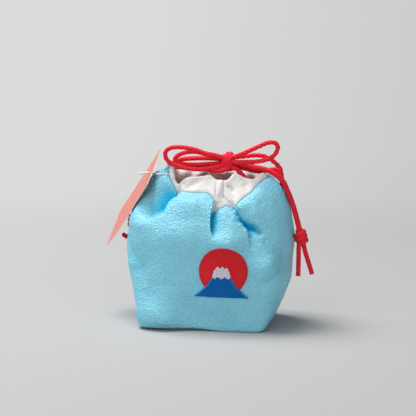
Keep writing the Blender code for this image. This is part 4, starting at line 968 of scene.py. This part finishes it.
for k in range(SPOKES):
    nxt = (k + 1) % SPOKES
    for ring in range(last):
        for level, (a, b) in ((1, (k, nxt)), (0, (nxt, k))):
            card.faces.new((layers[level, ring, a], layers[level, ring + 1, a], layers[level, ring + 1, b],
                            layers[level, ring, b]))
    for ring, flip in ((0, False), (last, True)):
        rim_face = [layers[0, ring, k], layers[0, ring, nxt], layers[1, ring, nxt], layers[1, ring, k]]
        card.faces.new(rim_face if flip else rim_face[::-1]).material_index = 1
mesh = bpy.data.meshes.new("hang_tag_card")
bmesh.ops.recalc_face_normals(card, faces=card.faces)
card.to_mesh(mesh)
card.free()
mesh.shade_smooth()
mesh.set_sharp_from_angle(angle=math.radians(40.0))
mesh.materials.append(salmon_card)
mesh.materials.append(card_core)
tag = add_object("hang_tag_card", mesh)
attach(tag, "tag")
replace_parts(tag, "hang_tag")

# Tag fastener: one moulded strand of clear plastic, shot through the gathered cloth and the card's hole. It
# is held by a small bar at one end.
clear_plastic, tree, shader = new_finish("clear_fastener_plastic", (0.90, 0.90, 0.90), 0.22,
                                         Transmission_Weight=0.2, IOR=1.46)
add_bump(shader, grain(tree, 400.0, 2.0), 0.03 * MM, 0.3)
FASTENER_STOPS = ((-26.4, -7.6, 0.8), (-27.2, -9.8, 1.1), (-30.2, -10.2, 1.3), (-33.4, -10, 1.3),
                  (-36.2, -9.4, 1.3), (-38.6, -6.6, 1.2), (-41, -3, 1.2), (-43.2, -3.4, 1.4),
                  (-45, -4.7, 1.2))


def plastic_strand(name, line, thickness):
    """A strand of clear plastic along a line, thinner at its two ends."""
    curve = bpy.data.curves.new(name, "CURVE")
    curve.dimensions = "3D"
    curve.bevel_depth = thickness / 2.0
    curve.bevel_resolution = 4
    curve.use_fill_caps = True
    spline = curve.splines.new("POLY")
    spline.points.add(len(line) - 1)
    for index, (target, point) in enumerate(zip(spline.points, line)):
        target.co = (*point, 1.0)
        target.radius = 0.6 if index in (0, len(line) - 1) else 1.0
    curve.materials.append(clear_plastic)
    strand = add_object(name, curve)
    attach(strand, "pouch")
    return strand


strand_line = stops_to_line(FASTENER_STOPS, step=0.6)
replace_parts(plastic_strand("tag_fastener_strand", strand_line, 2.0 * STRAND_RADIUS * MM), "tag_fastener")
bar_line = stops_to_line(((-48.8, -4.6, 0.9), (-45.2, -4.8, 1.1), (-41.7, -5.0, 1.5)), step=0.5)
plastic_strand("tag_fastener_end_bar", bar_line, 1.6 * MM)

# Stage: a pale grey floor that curves up behind the pouch, a large soft light from the upper left and a weak
# fill from the right. Far from the pouch the camera sees a glow in place of the lit floor: pale grey with
# painted shade that deepens to the right.
FLOOR_HALF_WIDTH, FLOOR_FRONT, CURVE_START, CURVE_RADIUS, WALL_TOP = 3.5, -3.0, 1.3, 0.8, 3.0
stage_grey, tree, shader = new_finish("stage_grey", (0.47, 0.47, 0.47), 0.9)
place = add_node(tree, "ShaderNodeTexCoord").outputs["Object"]
reach = add_node(tree, "ShaderNodeVectorMath", place, operation="LENGTH")
far = add_node(tree, "ShaderNodeMapRange", reach.outputs["Value"], interpolation_type="SMOOTHSTEP",
               From_Min=0.16, From_Max=0.75)
seen = add_node(tree, "ShaderNodeLightPath").outputs["Is Camera Ray"]
share = add_node(tree, "ShaderNodeMath", far.outputs["Result"], seen, operation="MULTIPLY")
split = add_node(tree, "ShaderNodeSeparateXYZ", place)
nearness = add_node(tree, "ShaderNodeMath", split.outputs["Y"], 1.0, operation="ADD")
slope = add_node(tree, "ShaderNodeMath", split.outputs["X"], nearness.outputs["Value"], operation="DIVIDE")
# Painted shade: the camera-only glow deepens from pale grey on the left to a darker grey on the right.
painted_falloff_grey = tint_by(tree, slope.outputs["Value"], (0.705, 0.705, 0.705), (0.540, 0.540, 0.540), -0.15, 0.15)
glow = add_node(tree, "ShaderNodeEmission", painted_falloff_grey)
mixed = add_node(tree, "ShaderNodeMixShader", share.outputs["Value"], shader.outputs["BSDF"],
                 glow.outputs["Emission"])
fill(tree.nodes["Material Output"], Surface=mixed.outputs["Shader"])
profile = [(FLOOR_FRONT, 0.0), (CURVE_START, 0.0)]
for bend in np.linspace(0.0, math.pi / 2, 13)[1:]:
    profile.append((CURVE_START + CURVE_RADIUS * math.sin(bend),
                    CURVE_RADIUS - CURVE_RADIUS * math.cos(bend)))
profile.append((CURVE_START + CURVE_RADIUS, WALL_TOP))
floor_points = np.array([[(side * FLOOR_HALF_WIDTH, y, z) for side in (-1.0, 1.0)] for y, z in profile])
make_piece("floor", floor_points, grid_faces(len(profile), 2), stage_grey)


def soft_light(name, place, size, power):
    """A square lamp that is turned towards the pouch's middle."""
    lamp = bpy.data.lights.new(name, "AREA")
    lamp.shape = "SQUARE"
    lamp.size = size
    lamp.energy = power
    light = add_object(name, lamp)
    light.location = place
    light.rotation_euler = (Vector((0.0, 0.0, 0.05)) - Vector(place)).to_track_quat("-Z", "Y").to_euler()


soft_light("overhead_light", (-0.46, 0.12, 1.30), 0.8, 22.0)
soft_light("window_light", (-0.6, -1.4, 1.1), 1.2, 7.0)
soft_light("fill_light", (1.2, -1.4, 0.6), 1.0, 4.8)
world = bpy.data.worlds.new("studio")
scene.world = world
world.use_nodes = True
background = world.node_tree.nodes["Background"]
background.inputs["Color"].default_value = (1.0, 1.0, 1.0, 1.0)
background.inputs["Strength"].default_value = 0.225
